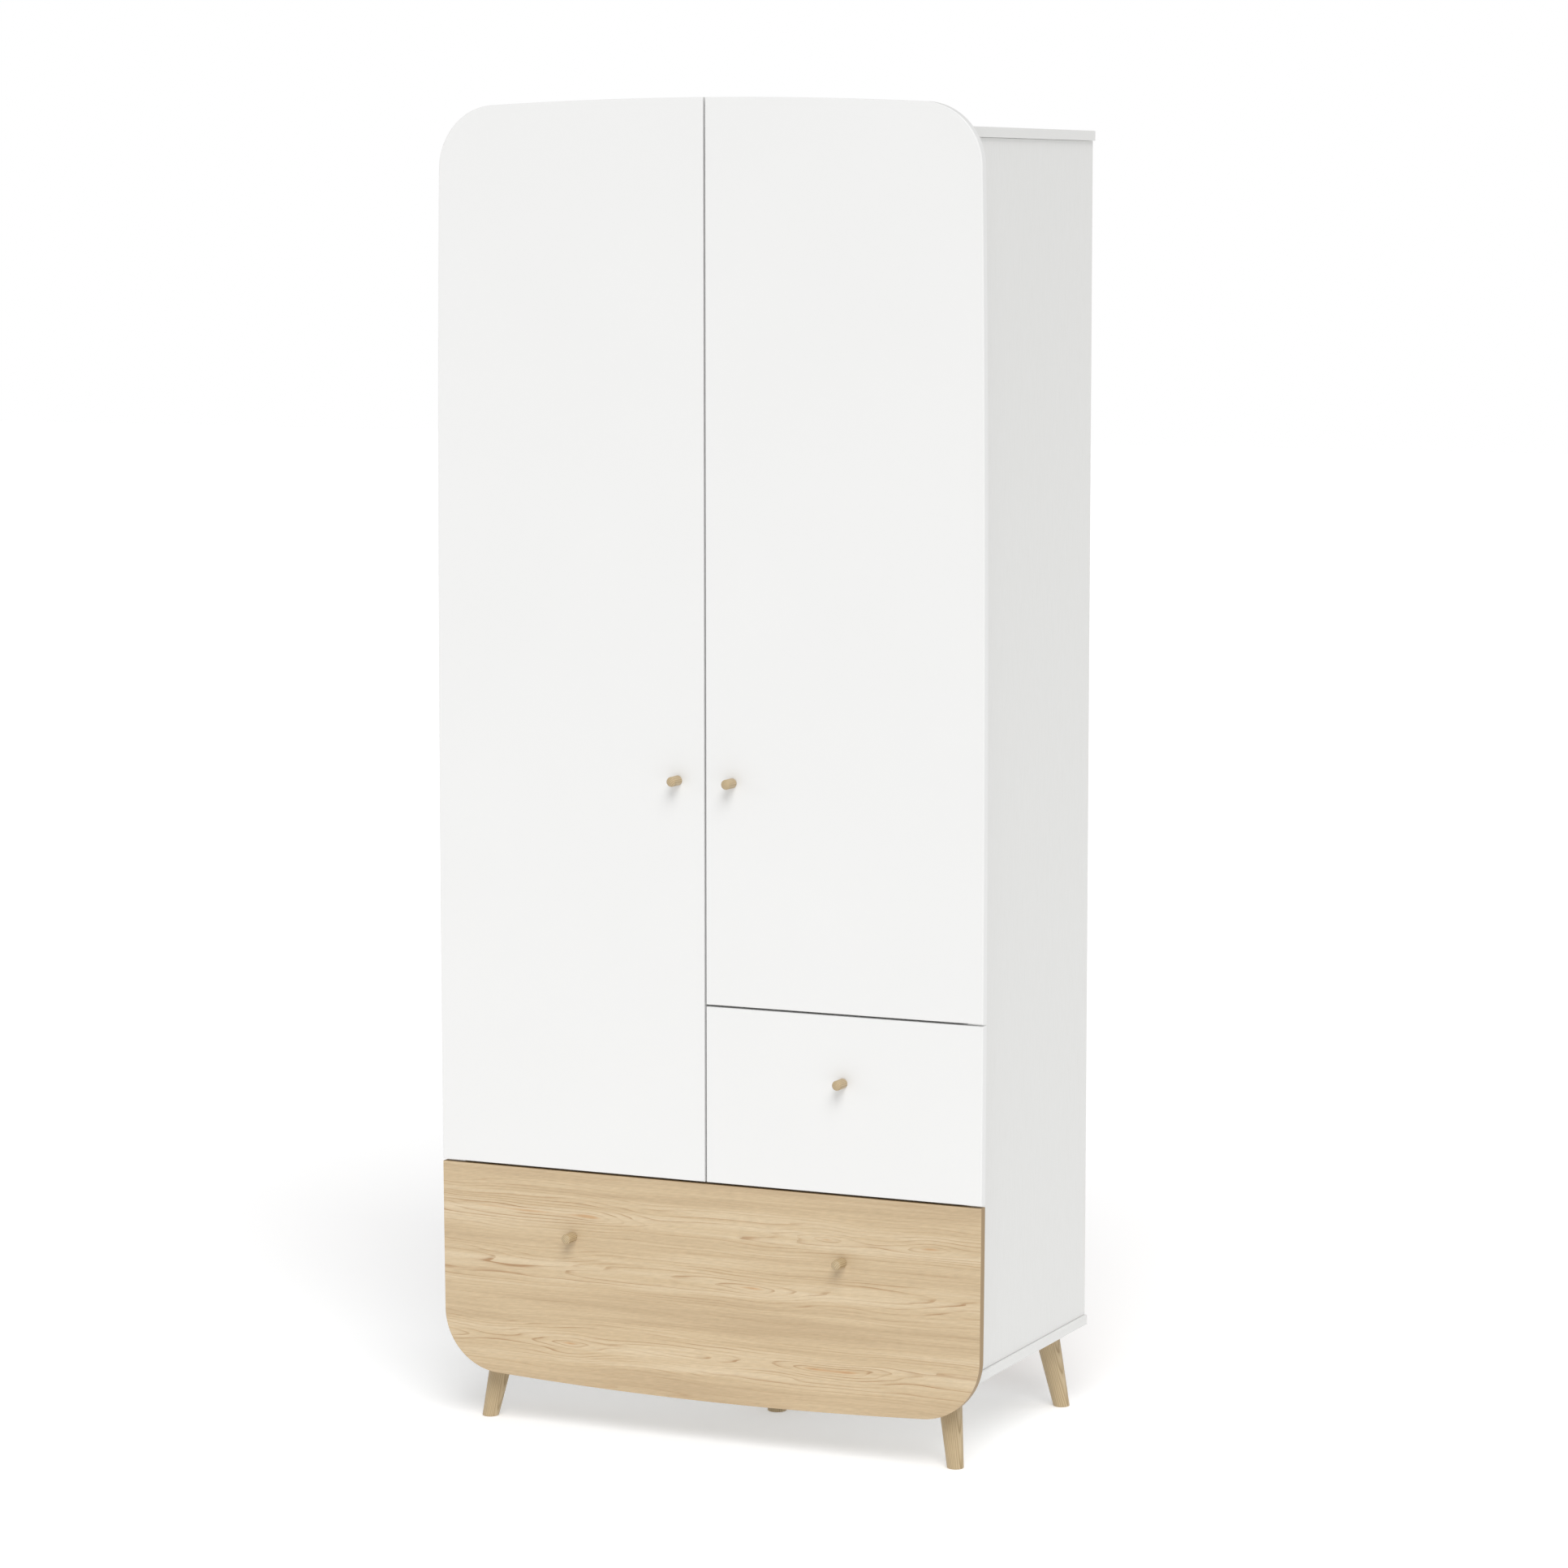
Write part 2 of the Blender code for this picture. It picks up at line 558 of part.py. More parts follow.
def door_leaf_mesh(sign):
    """Cup with its flange on the door's back, arm across the carcass edge and upper knuckle, in one."""
    near = FRONT_BACK_Y + FIT - PIVOT_Y
    far = near + HINGE_STEEL
    cup_x = sign * (CUP_X - PIVOT_X)
    outline = knuckle_outline(near, far)
    arm_end = CUP_X - PIVOT_X + CUP_RADIUS / 2
    outline += [(arm_end, far), (arm_end, near)]
    low, high = KNUCKLE_SPLIT / 2, HINGE_HEIGHT / 2
    mesh = prism_mesh("arm", mirrored(outline, sign), "Z", low, high, holes=[pin_bore()])
    arm = add_object("arm", mesh, (0, 0, 0))
    flange_size = (FLANGE_WIDTH, HINGE_STEEL, FLANGE_HEIGHT)
    flange = add_object("flange", box_mesh("flange", flange_size), (cup_x, (near + far) / 2, 0))
    bore = CUP_RADIUS - CUP_WALL
    floor = CUP_DEPTH - CUP_WALL
    outside = [(0, 0), (CUP_RADIUS, 0), (CUP_RADIUS, CUP_DEPTH), (0, CUP_DEPTH)]
    inside = [(0, -floor), (bore, -floor), (bore, floor), (0, floor)]
    cup, hollow = (
        add_object(name, turned_mesh(name, profile, (0, -1, 0), CUP_STEPS), (cup_x, far, 0))
        for name, profile in (("cup", outside), ("hollow", inside))
    )
    apply_tool(flange, cup, "UNION")
    apply_tool(flange, hollow, "DIFFERENCE")
    apply_tool(flange, arm, "UNION")
    bpy.context.view_layer.update()
    mesh = bpy.data.meshes.new_from_object(flange.evaluated_get(bpy.context.evaluated_depsgraph_get()))
    mesh.transform(Matrix.Translation(flange.location))
    for tool in (arm, flange, cup, hollow):
        bpy.data.objects.remove(tool)
    mesh.name = "door_leaf"
    return mesh


def pin_mesh():
    """A pin with a flat head on top, running through both knuckles."""
    low, top = -HINGE_HEIGHT / 2 - FIT, HINGE_HEIGHT / 2 + FIT
    profile = [
        (0.0, low),
        (PIN_RADIUS, low),
        (PIN_RADIUS, top),
        (PIN_HEAD_RADIUS, top),
        (PIN_HEAD_RADIUS, top + PIN_HEAD_HEIGHT),
        (0.0, top + PIN_HEAD_HEIGHT),
    ]
    return turned_mesh("pin", profile, (0, 0, 1), PIN_STEPS)


def make_hinges(side, sign, door, door_axis, root, heights):
    """All hinges of one door, and the recesses for their cups."""
    x = sign * PIVOT_X
    carcass_leaf, door_leaf = carcass_leaf_mesh(sign), door_leaf_mesh(sign)
    for place, z in zip(("bottom", "middle", "top"), heights):
        stem = f"{side}_hinge_{place}"
        add_object(f"{stem}_carcass_leaf", carcass_leaf.copy(), (x, PIVOT_Y, z), root, "nickel_steel")
        add_object(f"{stem}_door_leaf", door_leaf.copy(), (x, PIVOT_Y, z), door_axis, "nickel_steel")
        add_object(f"{stem}_pin", pin_mesh(), (x, PIVOT_Y, z), root, "nickel_steel")
        depth = CUP_DEPTH - HINGE_STEEL
        radius = CUP_RADIUS + FIT
        profile = [(0, -FRONT_THICKNESS), (radius, -FRONT_THICKNESS), (radius, depth), (0, depth)]
        recess = turned_mesh("cup_recess", profile, (0, -1, 0), CUP_STEPS)
        tool = add_object(f"{stem}_recess_tool", recess, (sign * CUP_X, FRONT_BACK_Y, z), door_axis)
        apply_tool(door, hide_tool(tool), "DIFFERENCE")


def make_door(side, sign, bottom_z, opening_z, root):
    """A door on its axis empty, with its knob and hinges."""
    door_axis = make_empty(f"{side}_door_axis", (sign * PIVOT_X, PIVOT_Y, bottom_z))
    cuts = [(0, sign * FRONT_GAP / 2, sign), (1, bottom_z, 1)]
    door = make_front(f"{side}_door", cuts, door_axis, "white_lacquer")
    knob_x = sign * (FRONT_GAP / 2 + DOOR_KNOB_INSET)
    make_knob(f"{side}_door_knob", knob_x, FRONT_BOTTOM_Z + DOOR_KNOB_HEIGHT, door_axis)
    make_hinges(side, sign, door, door_axis, root, hinge_heights(opening_z, CEILING_Z))


# ---- Drawers ------------------------------------------------------------------------------------
def make_drawer(name, cuts, top_z, knobs, finish, space, box_height, root):
    """A drawer: front, box and knobs on one empty, and a pair of runners.

    space is (left, right, floor), the faces that the drawer runs between and the floor under it.
    """
    left, right, floor = space
    body = make_empty(f"{name}_slide", ((left + right) / 2, FRONT_BACK_Y, floor))
    make_front(f"{name}_front", cuts, body, finish)
    for suffix, x in knobs:
        make_knob(f"{name}_knob{suffix}", x, top_z - DRAWER_KNOB_DROP, body)
    low = floor + BOX_LIFT
    front_y, rear_y = FRONT_BACK_Y + FIT, FRONT_BACK_Y + FIT + BOX_DEPTH
    outer = (left + BOX_SIDE_GAP, right - BOX_SIDE_GAP)
    inner = (outer[0] + BOX_BOARD, outer[1] - BOX_BOARD)
    bottom_low = low + BOX_BOTTOM_LIFT
    bottom_high = bottom_low + BOX_BOTTOM_THICKNESS
    for side, sign, x in (("left", LEFT, outer[0]), ("right", RIGHT, outer[1])):
        outline = box_side_outline(sign, box_height)
        mesh = prism_mesh(f"{name}_side", outline, "Y", 0.0, BOX_DEPTH)
        add_object(f"{name}_side_{side}", mesh, (x, front_y, low), body, "white_melamine")
    back_depth = (rear_y - BOX_BOARD, rear_y)
    back_height = (bottom_high + FIT, low + box_height)
    back_width = (inner[0] + FIT, inner[1] - FIT)
    board(f"{name}_back", back_width, back_depth, back_height, body, "white_melamine", edge=0)
    reach = BOX_GROOVE_DEPTH - FIT
    bottom_width = (inner[0] - reach, inner[1] + reach)
    bottom_height = (bottom_low, bottom_high)
    board(f"{name}_bottom", bottom_width, (front_y, rear_y), bottom_height, body, "white_hardboard", edge=0)
    for side, sign, wall, face in (("left", LEFT, left, outer[0]), ("right", RIGHT, right, outer[1])):
        make_runner(f"{name}_runner_{side}", sign, wall, face, low, root, body)


def box_side_outline(sign, height):
    """A drawer side in section, its origin at the lower edge of its outer face, grooved for the bottom."""
    groove_low = BOX_BOTTOM_LIFT - FIT
    groove_high = BOX_BOTTOM_LIFT + BOX_BOTTOM_THICKNESS + FIT
    floor = BOX_BOARD - BOX_GROOVE_DEPTH
    outline = [
        (0, 0),
        (BOX_BOARD, 0),
        (BOX_BOARD, groove_low),
        (floor, groove_low),
        (floor, groove_high),
        (BOX_BOARD, groove_high),
        (BOX_BOARD, height),
        (0, height),
    ]
    return mirrored(outline, -sign)


def make_runner(name, sign, wall, face, low, root, body):
    """Cabinet member, a channel on the wall, and drawer member, an angle on the box with a track in it."""
    front_y = CARCASS_FRONT_Y + RUNNER_SETBACK
    t = RUNNER_STEEL
    channel_depth = t + RUNNER_FLANGE
    channel = [
        (0, 0),
        (channel_depth, 0),
        (channel_depth, t),
        (t, t),
        (t, RUNNER_HEIGHT - t),
        (channel_depth, RUNNER_HEIGHT - t),
        (channel_depth, RUNNER_HEIGHT),
        (0, RUNNER_HEIGHT),
    ]
    mesh = prism_mesh(name, mirrored(channel, -sign), "Y", 0.0, RUNNER_LENGTH)
    place = (wall - sign * FIT, front_y, low + RUNNER_LIFT)
    add_object(f"{name}_cabinet_member", mesh, place, root, "white_steel")
    track = RUNNER_LIFT + (RUNNER_HEIGHT - t) / 2
    angle = [
        (-RUNNER_FOOT, -FIT - t),
        (FIT + t, -FIT - t),
        (FIT + t, track),
        (FIT + t + TRACK_REACH, track),
        (FIT + t + TRACK_REACH, track + t),
        (FIT + t, track + t),
        (FIT + t, RUNNER_HEIGHT),
        (FIT, RUNNER_HEIGHT),
        (FIT, -FIT),
        (-RUNNER_FOOT, -FIT),
    ]
    mesh = prism_mesh(name, mirrored(angle, sign), "Y", 0.0, RUNNER_LENGTH - RUNNER_SETBACK)
    add_object(f"{name}_drawer_member", mesh, (face, front_y, low), body, "white_steel")


# ---- The whole wardrobe -------------------------------------------------------------------------
def build():
    for obj in list(bpy.data.objects):
        bpy.data.objects.remove(obj)
    root = make_empty("carcass", (0, 0, 0))
    make_carcass(root)
    make_fittings(root)
    make_legs(root)
    make_door("left", LEFT, SMALL_BOTTOM_Z, DECK_Z + BOARD, root)
    make_door("right", RIGHT, RIGHT_DOOR_BOTTOM_Z, DRAWER_SHELF_Z + BOARD, root)
    small_cuts = [(0, FRONT_GAP / 2, 1), (1, SMALL_BOTTOM_Z, 1), (1, SMALL_TOP_Z, -1)]
    small_middle = (FRONT_GAP / 2 + FRONT_WIDTH / 2) / 2
    small_space = (BOARD / 2, SIDE_INNER_X, DECK_Z + BOARD)
    make_drawer(
        "small_drawer", small_cuts, SMALL_TOP_Z, [("", small_middle)], "white_lacquer",
        small_space, SMALL_BOX_HEIGHT, root,
    )
    large_cuts = [(1, LARGE_TOP_Z, -1)]
    large_knobs = [("_left", -FRONT_WIDTH / 4), ("_right", FRONT_WIDTH / 4)]
    large_space = (-SIDE_INNER_X, SIDE_INNER_X, FLOOR_Z)
    make_drawer(
        "large_drawer", large_cuts, LARGE_TOP_Z, large_knobs, "pine_decor",
        large_space, LARGE_BOX_HEIGHT, root,
    )


build()
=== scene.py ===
import math

import bmesh
import bpy
import numpy as np
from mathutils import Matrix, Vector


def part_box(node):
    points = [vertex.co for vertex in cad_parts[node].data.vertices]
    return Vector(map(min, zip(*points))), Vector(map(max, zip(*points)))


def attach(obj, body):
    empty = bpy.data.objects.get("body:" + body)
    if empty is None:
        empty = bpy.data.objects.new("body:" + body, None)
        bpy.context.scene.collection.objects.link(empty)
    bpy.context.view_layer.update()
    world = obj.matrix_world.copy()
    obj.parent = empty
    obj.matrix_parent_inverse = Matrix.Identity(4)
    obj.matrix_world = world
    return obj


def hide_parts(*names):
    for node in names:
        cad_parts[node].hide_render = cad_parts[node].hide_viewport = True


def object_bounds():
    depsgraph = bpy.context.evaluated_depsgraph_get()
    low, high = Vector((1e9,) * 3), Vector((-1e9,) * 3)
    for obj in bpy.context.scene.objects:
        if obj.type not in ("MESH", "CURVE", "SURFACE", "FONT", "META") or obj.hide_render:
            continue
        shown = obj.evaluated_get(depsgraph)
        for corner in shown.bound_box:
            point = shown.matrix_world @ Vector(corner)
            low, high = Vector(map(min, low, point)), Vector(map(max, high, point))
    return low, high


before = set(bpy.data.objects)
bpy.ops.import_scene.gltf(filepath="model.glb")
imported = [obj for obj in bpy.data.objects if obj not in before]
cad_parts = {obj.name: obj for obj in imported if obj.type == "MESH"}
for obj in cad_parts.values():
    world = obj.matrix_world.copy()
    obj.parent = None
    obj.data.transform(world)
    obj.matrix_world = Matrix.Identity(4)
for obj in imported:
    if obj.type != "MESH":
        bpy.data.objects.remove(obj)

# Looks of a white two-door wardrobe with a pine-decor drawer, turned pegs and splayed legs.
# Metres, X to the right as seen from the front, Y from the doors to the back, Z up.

CAD_BOX = [list(corner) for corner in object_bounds()]
MM = 0.001
SIDES = (("left", -1), ("right", 1))
DRAWERS = ("small", "large")


# ---- Colours and nodes --------------------------------------------------------------------------
def linear(colour):
    """An sRGB hex colour, or a grey from 0 to 1 that is used as it is, as red, green, blue and alpha."""
    if not isinstance(colour, str):
        return [colour, colour, colour, 1.0]
    parts = [int(colour[i : i + 2], 16) / 255 for i in (0, 2, 4)]
    return [c / 12.92 if c <= 0.04045 else ((c + 0.055) / 1.055) ** 2.4 for c in parts] + [1.0]


def add(tree, kind, sockets=None, stops=(), **settings):
    """Adds a node. settings are its properties, sockets gives inputs a value or links an output to them,
    and stops are a ramp's (position, colour) pairs."""
    node = tree.nodes.new("ShaderNode" + kind)
    for name, value in settings.items():
        setattr(node, name, value)
    for key, value in (sockets or {}).items():
        if isinstance(value, bpy.types.NodeSocket):
            tree.links.new(value, node.inputs[key])
        else:
            node.inputs[key].default_value = value
    for i, (position, colour) in enumerate(stops):
        ramp = node.color_ramp.elements
        stop = ramp[i] if i < len(ramp) else ramp.new(position)
        stop.position, stop.color = position, linear(colour)
    return node


def new_material(name, roughness, ior=1.5, metallic=0.0):
    """A material's tree, its shader and its object coordinates."""
    material = bpy.data.materials.new(name)
    material.use_nodes = True
    tree = material.node_tree
    shader = tree.nodes["Principled BSDF"]
    shader.inputs["Roughness"].default_value = roughness
    shader.inputs["IOR"].default_value = ior
    shader.inputs["Metallic"].default_value = metallic
    return material, tree, shader, add(tree, "TexCoord").outputs["Object"]


def grain(tree, place, lengths, detail=2.0, roughness=0.5, shift=(0, 0, 0)):
    """Noise whose grains measure lengths (mm) along X, Y and Z; a length of 0 leaves that axis out."""
    scale = [1 / (length * MM) if length else 0.0 for length in lengths]
    fitted = add(tree, "VectorMath", {0: place, 1: scale, 2: shift}, operation="MULTIPLY_ADD").outputs[0]
    sockets = {"Vector": fitted, "Scale": 1.0, "Detail": detail, "Roughness": roughness}
    return add(tree, "TexNoise", sockets).outputs["Fac"]


def finish_surface(tree, shader, colour, height, depth):
    """Links a colour and a relief of the given depth (mm) to the shader."""
    tree.links.new(colour, shader.inputs["Base Color"])
    bump = add(tree, "Bump", {"Height": height, "Distance": depth * MM})
    tree.links.new(bump.outputs[0], shader.inputs["Normal"])


# ---- Materials ----------------------------------------------------------------------------------
def white_lacquer():
    """Fibreboard with a rolled white UV lacquer: satin and even, with a faint orange peel."""
    material, tree, shader, place = new_material("white_uv_lacquer", 0.42)
    cloud = grain(tree, place, (260, 260, 260))
    colour = add(tree, "ValToRGB", {"Fac": cloud}, [(0.3, WHITE_FRONT[0]), (0.7, WHITE_FRONT[1])])
    peel = grain(tree, place, (2.5, 2.5, 2.5), detail=1.0)
    finish_surface(tree, shader, colour.outputs[0], peel, 0.01)
    return material


def melamine(name, pores):
    """Particleboard faced with white melamine paper, pressed on an embossed plate: shallow long pores.

    The pores are drawn 1.5 mm wide, about twice the real width, so that they show."""
    material, tree, shader, place = new_material(name, 0.5)
    emboss = grain(tree, place, pores, detail=3.0, roughness=0.6)
    stops = [(0.25, WHITE_BOARD[0]), (0.5, WHITE_BOARD[1]), (0.8, WHITE_BOARD[2])]
    colour = add(tree, "ValToRGB", {"Fac": emboss}, stops)
    finish_surface(tree, shader, colour.outputs[0], emboss, 0.15)
    return material


def pine_decor():
    """Particleboard faced with printed pine paper, matt: rows of heart grain run along the board.

    Each row is like a flat-sawn plank. Growth rings lie round a core line that runs close under the face at
    a changing depth, so they show as long nested tongues at the row and as straight grain beside it.
    """
    material, tree, shader, place = new_material("pine_decor_paper", 0.55)
    height = add(tree, "SeparateXYZ", {0: place}).outputs["Z"]
    wander = grain(tree, place, (330, 0, 150), shift=(0.31, 0, 0.2))
    sway = add(tree, "MapRange", {"Value": wander, "To Min": -0.012, "To Max": 0.012}).outputs[0]
    swayed = add(tree, "Math", {0: height, 1: sway}, operation="ADD").outputs[0]
    beside = PINE_ROW_REACH
    for row in PINE_ROWS:
        away = add(tree, "Math", {0: swayed, 1: row}, operation="SUBTRACT").outputs[0]
        away = add(tree, "Math", {0: away}, operation="ABSOLUTE").outputs[0]
        beside = add(tree, "Math", {0: away, 1: beside, 2: PINE_ROW_BLEND}, operation="SMOOTH_MIN").outputs[0]
    buried = grain(tree, place, (420, 0, 120), detail=1.0, shift=(0.12, 0, 0.57))
    depth = add(tree, "MapRange", {"Value": buried, "To Min": -0.06, "To Max": 0.06}).outputs[0]
    section = add(tree, "CombineXYZ", {0: beside, 1: depth}).outputs[0]
    radius = add(tree, "VectorMath", {0: section}, operation="LENGTH").outputs["Value"]
    ripple = grain(tree, place, (300, 0, 14), detail=2.0, roughness=0.4)
    shake = add(tree, "MapRange", {"Value": ripple, "To Min": -0.006, "To Max": 0.006}).outputs[0]
    ring = add(tree, "Math", {0: radius, 1: shake}, operation="ADD").outputs[0]
    count = add(tree, "Math", {0: ring, 1: PINE_RING}, operation="DIVIDE").outputs[0]
    year = add(tree, "Math", {0: count}, operation="FRACT").outputs[0]
    late_wood = [(0.0, 0.2), (0.06, 0.0), (0.55, 0.04), (0.8, 0.3), (0.92, 1.0), (0.97, 0.9)]
    late = add(tree, "ValToRGB", {"Fac": year}, late_wood).outputs[0]
    near = {"Value": beside, "From Min": 0.012, "From Max": 0.045, "To Min": 1.0, "To Max": 0.28}
    near = add(tree, "MapRange", near).outputs[0]
    patches = grain(tree, place, (260, 0, 9), detail=3.0, shift=(0.7, 0, 0.1))
    seen = {"Value": patches, "From Min": 0.4, "From Max": 0.64, "To Min": 0.12, "To Max": 0.9}
    seen = add(tree, "MapRange", seen).outputs[0]
    strength = add(tree, "Math", {0: near, 1: seen}, operation="MULTIPLY").outputs[0]
    line = add(tree, "Math", {0: strength, 1: late}, operation="MULTIPLY").outputs[0]
    streak = grain(tree, place, (520, 0, 15), detail=5.0, roughness=0.62, shift=(0.4, 0, 0.9))
    closer = {"Value": beside, "From Min": 0.0, "From Max": 0.05, "To Min": 0.1, "To Max": -0.1}
    closer = add(tree, "MapRange", closer).outputs[0]
    tone = add(tree, "Math", {0: streak, 1: closer}, operation="ADD").outputs[0]
    ground_stops = [(0.3, PINE_DUSK), (0.5, PINE_MID), (0.7, PINE_LIGHT)]
    ground = add(tree, "ValToRGB", {"Fac": tone}, ground_stops).outputs[0]
    lined = add(tree, "Mix", {0: line, 6: ground, 7: linear(PINE_LINE)}, data_type="RGBA").outputs[2]
    heart = {"Value": ring, "From Min": 0.0004, "From Max": 0.0024, "To Min": 0.7, "To Max": 0.0}
    heart = add(tree, "MapRange", heart).outputs[0]
    warm = add(tree, "Mix", {0: heart, 6: lined, 7: linear(PINE_HEART)}, data_type="RGBA").outputs[2]
    slant = add(tree, "Mapping", {"Vector": place, "Rotation": (0, FIBRE_SLANT, 0)}).outputs[0]
    fibre = grain(tree, slant, (15, 0, 1.9), detail=2.0, shift=(0.2, 0, 0.4))
    fine = {"Value": fibre, "From Min": 0.3, "From Max": 0.7, "To Min": 0.93, "To Max": 1.06}
    fine = add(tree, "MapRange", fine).outputs[0]
    toned = add(tree, "VectorMath", {0: warm, "Scale": fine}, operation="SCALE").outputs[0]
    finish_surface(tree, shader, toned, fibre, 0.03)
    return material


def pine_edge_band_with_painted_shade():
    """Printed ABS edge band, 1 mm thick: fine straight lines. It is darker than the face it closes, partly by
    its own print and partly as painted shade, so that the edges look shaded in the gaps.
    """
    material, tree, shader, place = new_material("pine_edge_band_with_painted_shade", 0.5)
    lines = grain(tree, place, (60, 2, 60), detail=3.0)
    colour = add(tree, "ValToRGB", {"Fac": lines}, [(0.3, PINE_BAND_WITH_PAINTED_SHADE[0]), (0.7, PINE_BAND_WITH_PAINTED_SHADE[1])])
    finish_surface(tree, shader, colour.outputs[0], lines, 0.02)
    return material


def turned_pine(name, foot, along):
    """Solid pine turned along the grain and matt lacquered: the rings run lengthwise and show as stripes.

    The rings lie round a line beside the piece, TURNED_CORE away from foot and parallel to along.
    """
    material, tree, shader, place = new_material(name, 0.5)
    along = np.array(along) / np.linalg.norm(along)
    aside = np.cross(along, (0.3, 0.9, 0.31))
    aside /= np.linalg.norm(aside)
    other = np.cross(along, aside)
    local = add(tree, "VectorMath", {0: place, 1: foot}, operation="SUBTRACT").outputs[0]
    parts = []
    for axis in (aside, other, along):
        dot = add(tree, "VectorMath", {0: local, 1: axis}, operation="DOT_PRODUCT")
        parts.append(dot.outputs["Value"])
    laid = add(tree, "CombineXYZ", {0: parts[0], 1: parts[1], 2: parts[2]}).outputs[0]
    bend = grain(tree, laid, (26, 26, 120), shift=(foot[0] * 7, foot[1] * 5, foot[2]))
    sway = add(tree, "MapRange", {"Value": bend, "To Min": -0.0035, "To Max": 0.0035}).outputs[0]
    core = add(tree, "VectorMath", {0: laid, 1: (TURNED_CORE, 0, 0)}, operation="ADD").outputs[0]
    flat = add(tree, "VectorMath", {0: core, 1: (1, 1, 0)}, operation="MULTIPLY").outputs[0]
    radius = add(tree, "VectorMath", {0: flat}, operation="LENGTH").outputs["Value"]
    ring = add(tree, "Math", {0: radius, 1: sway}, operation="ADD").outputs[0]
    count = add(tree, "Math", {0: ring, 1: TURNED_RING}, operation="DIVIDE").outputs[0]
    year = add(tree, "Math", {0: count}, operation="FRACT").outputs[0]
    late_wood = [(0.0, TURNED[1]), (0.2, TURNED[0]), (0.6, TURNED[1]), (0.92, TURNED[2]), (1.0, TURNED[1])]
    ringed = add(tree, "ValToRGB", {"Fac": year}, late_wood).outputs[0]
    fibre = grain(tree, laid, (0.9, 0.9, 30))
    fine = {"Value": fibre, "From Min": 0.3, "From Max": 0.7, "To Min": 0.94, "To Max": 1.05}
    fine = add(tree, "MapRange", fine).outputs[0]
    toned = add(tree, "VectorMath", {0: ringed, "Scale": fine}, operation="SCALE").outputs[0]
    finish_surface(tree, shader, toned, fibre, 0.04)
    return material


def hardboard():
    """Pressed fibreboard, white printed on the face to the inside and raw brown fibres on its back."""
    material, tree, shader, place = new_material("hardboard_white_faced", 0.6)
    depth = add(tree, "SeparateXYZ", {0: place}).outputs["Y"]
    behind = add(tree, "Math", {0: depth, 1: BACK_MIDDLE_Y}, operation="GREATER_THAN").outputs[0]
    felt = grain(tree, place, (5, 5, 5), detail=6.0, roughness=0.7)
    cloud = grain(tree, place, (90, 90, 140), detail=3.0)
    blend = add(tree, "Math", {0: cloud, 1: 0.3, 2: felt}, operation="MULTIPLY_ADD").outputs[0]
    raw_fac = {"Value": blend, "From Min": 0.4, "From Max": 0.9}
    raw_fac = add(tree, "MapRange", raw_fac).outputs[0]
    raw_stops = [(0.0, "8E6F4F"), (0.5, "9E7F5E"), (1.0, "AE8F6E")]
    raw = add(tree, "ValToRGB", {"Fac": raw_fac}, raw_stops).outputs[0]
    white = add(tree, "ValToRGB", {"Fac": felt}, [(0.3, "DFDFDC"), (0.7, "E6E6E3")]).outputs[0]
    both = add(tree, "Mix", {0: behind, 6: white, 7: raw}, data_type="RGBA").outputs[2]
    finish_surface(tree, shader, both, felt, 0.08)
    return material


def nickel_steel():
    """Pressed steel strip, nickel plated: bright but not polished, with fine drawing lines."""
    material, tree, shader, place = new_material("nickel_plated_steel", 0.3, metallic=1.0)
    drawn = grain(tree, place, (6, 6, 0.4), detail=3.0)
    colour = add(tree, "ValToRGB", {"Fac": drawn}, [(0.3, "B2AFA8"), (0.7, "C6C3BC")])
    finish_surface(tree, shader, colour.outputs[0], drawn, 0.01)
    return material


def white_powder_coat():
    """Steel with a baked white powder coat: a fine pebbled skin, half gloss."""
    material, tree, shader, place = new_material("white_powder_coated_steel", 0.38)
    pebble = grain(tree, place, (0.9, 0.9, 0.9), detail=1.0)
    colour = add(tree, "ValToRGB", {"Fac": pebble}, [(0.2, "DCDCD8"), (0.8, "E5E5E2")])
    finish_surface(tree, shader, colour.outputs[0], pebble, 0.04)
    return material


def chrome_tube():
    """Welded steel tube, chromed: mirror-like with faint length-wise polishing lines."""
    material, tree, shader, place = new_material("chromed_steel_tube", 0.12, metallic=1.0)
    polish = grain(tree, place, (60, 0.5, 0.5), detail=2.0)
    colour = add(tree, "ValToRGB", {"Fac": polish}, [(0.3, "CFCFD0"), (0.7, "DDDDDE")])
    finish_surface(tree, shader, colour.outputs[0], polish, 0.004)
    return material


def moulded_nylon():
    """Injection-moulded white nylon: slightly milky, with a fine spark-eroded texture."""
    material, tree, shader, place = new_material("moulded_white_nylon", 0.4, ior=1.53)
    shader.inputs["Subsurface Weight"].default_value = 0.1
    shader.inputs["Subsurface Radius"].default_value = (0.002, 0.002, 0.002)
    spark = grain(tree, place, (0.7, 0.7, 0.7), detail=1.0)
    colour = add(tree, "ValToRGB", {"Fac": spark}, [(0.2, "DEDEDA"), (0.8, "EAEAE7")])
    finish_surface(tree, shader, colour.outputs[0], spark, 0.02)
    return material


def zinc_screw():
    """Case-hardened chipboard screw, zinc plated: bluish grey metal with small stains."""
    material, tree, shader, place = new_material("zinc_plated_screw", 0.35, metallic=1.0)
    stain = grain(tree, place, (3, 3, 3), detail=3.0)
    colour = add(tree, "ValToRGB", {"Fac": stain}, [(0.3, "9FA1A3"), (0.7, "BCBEC0")])
    finish_surface(tree, shader, colour.outputs[0], stain, 0.01)
    return material


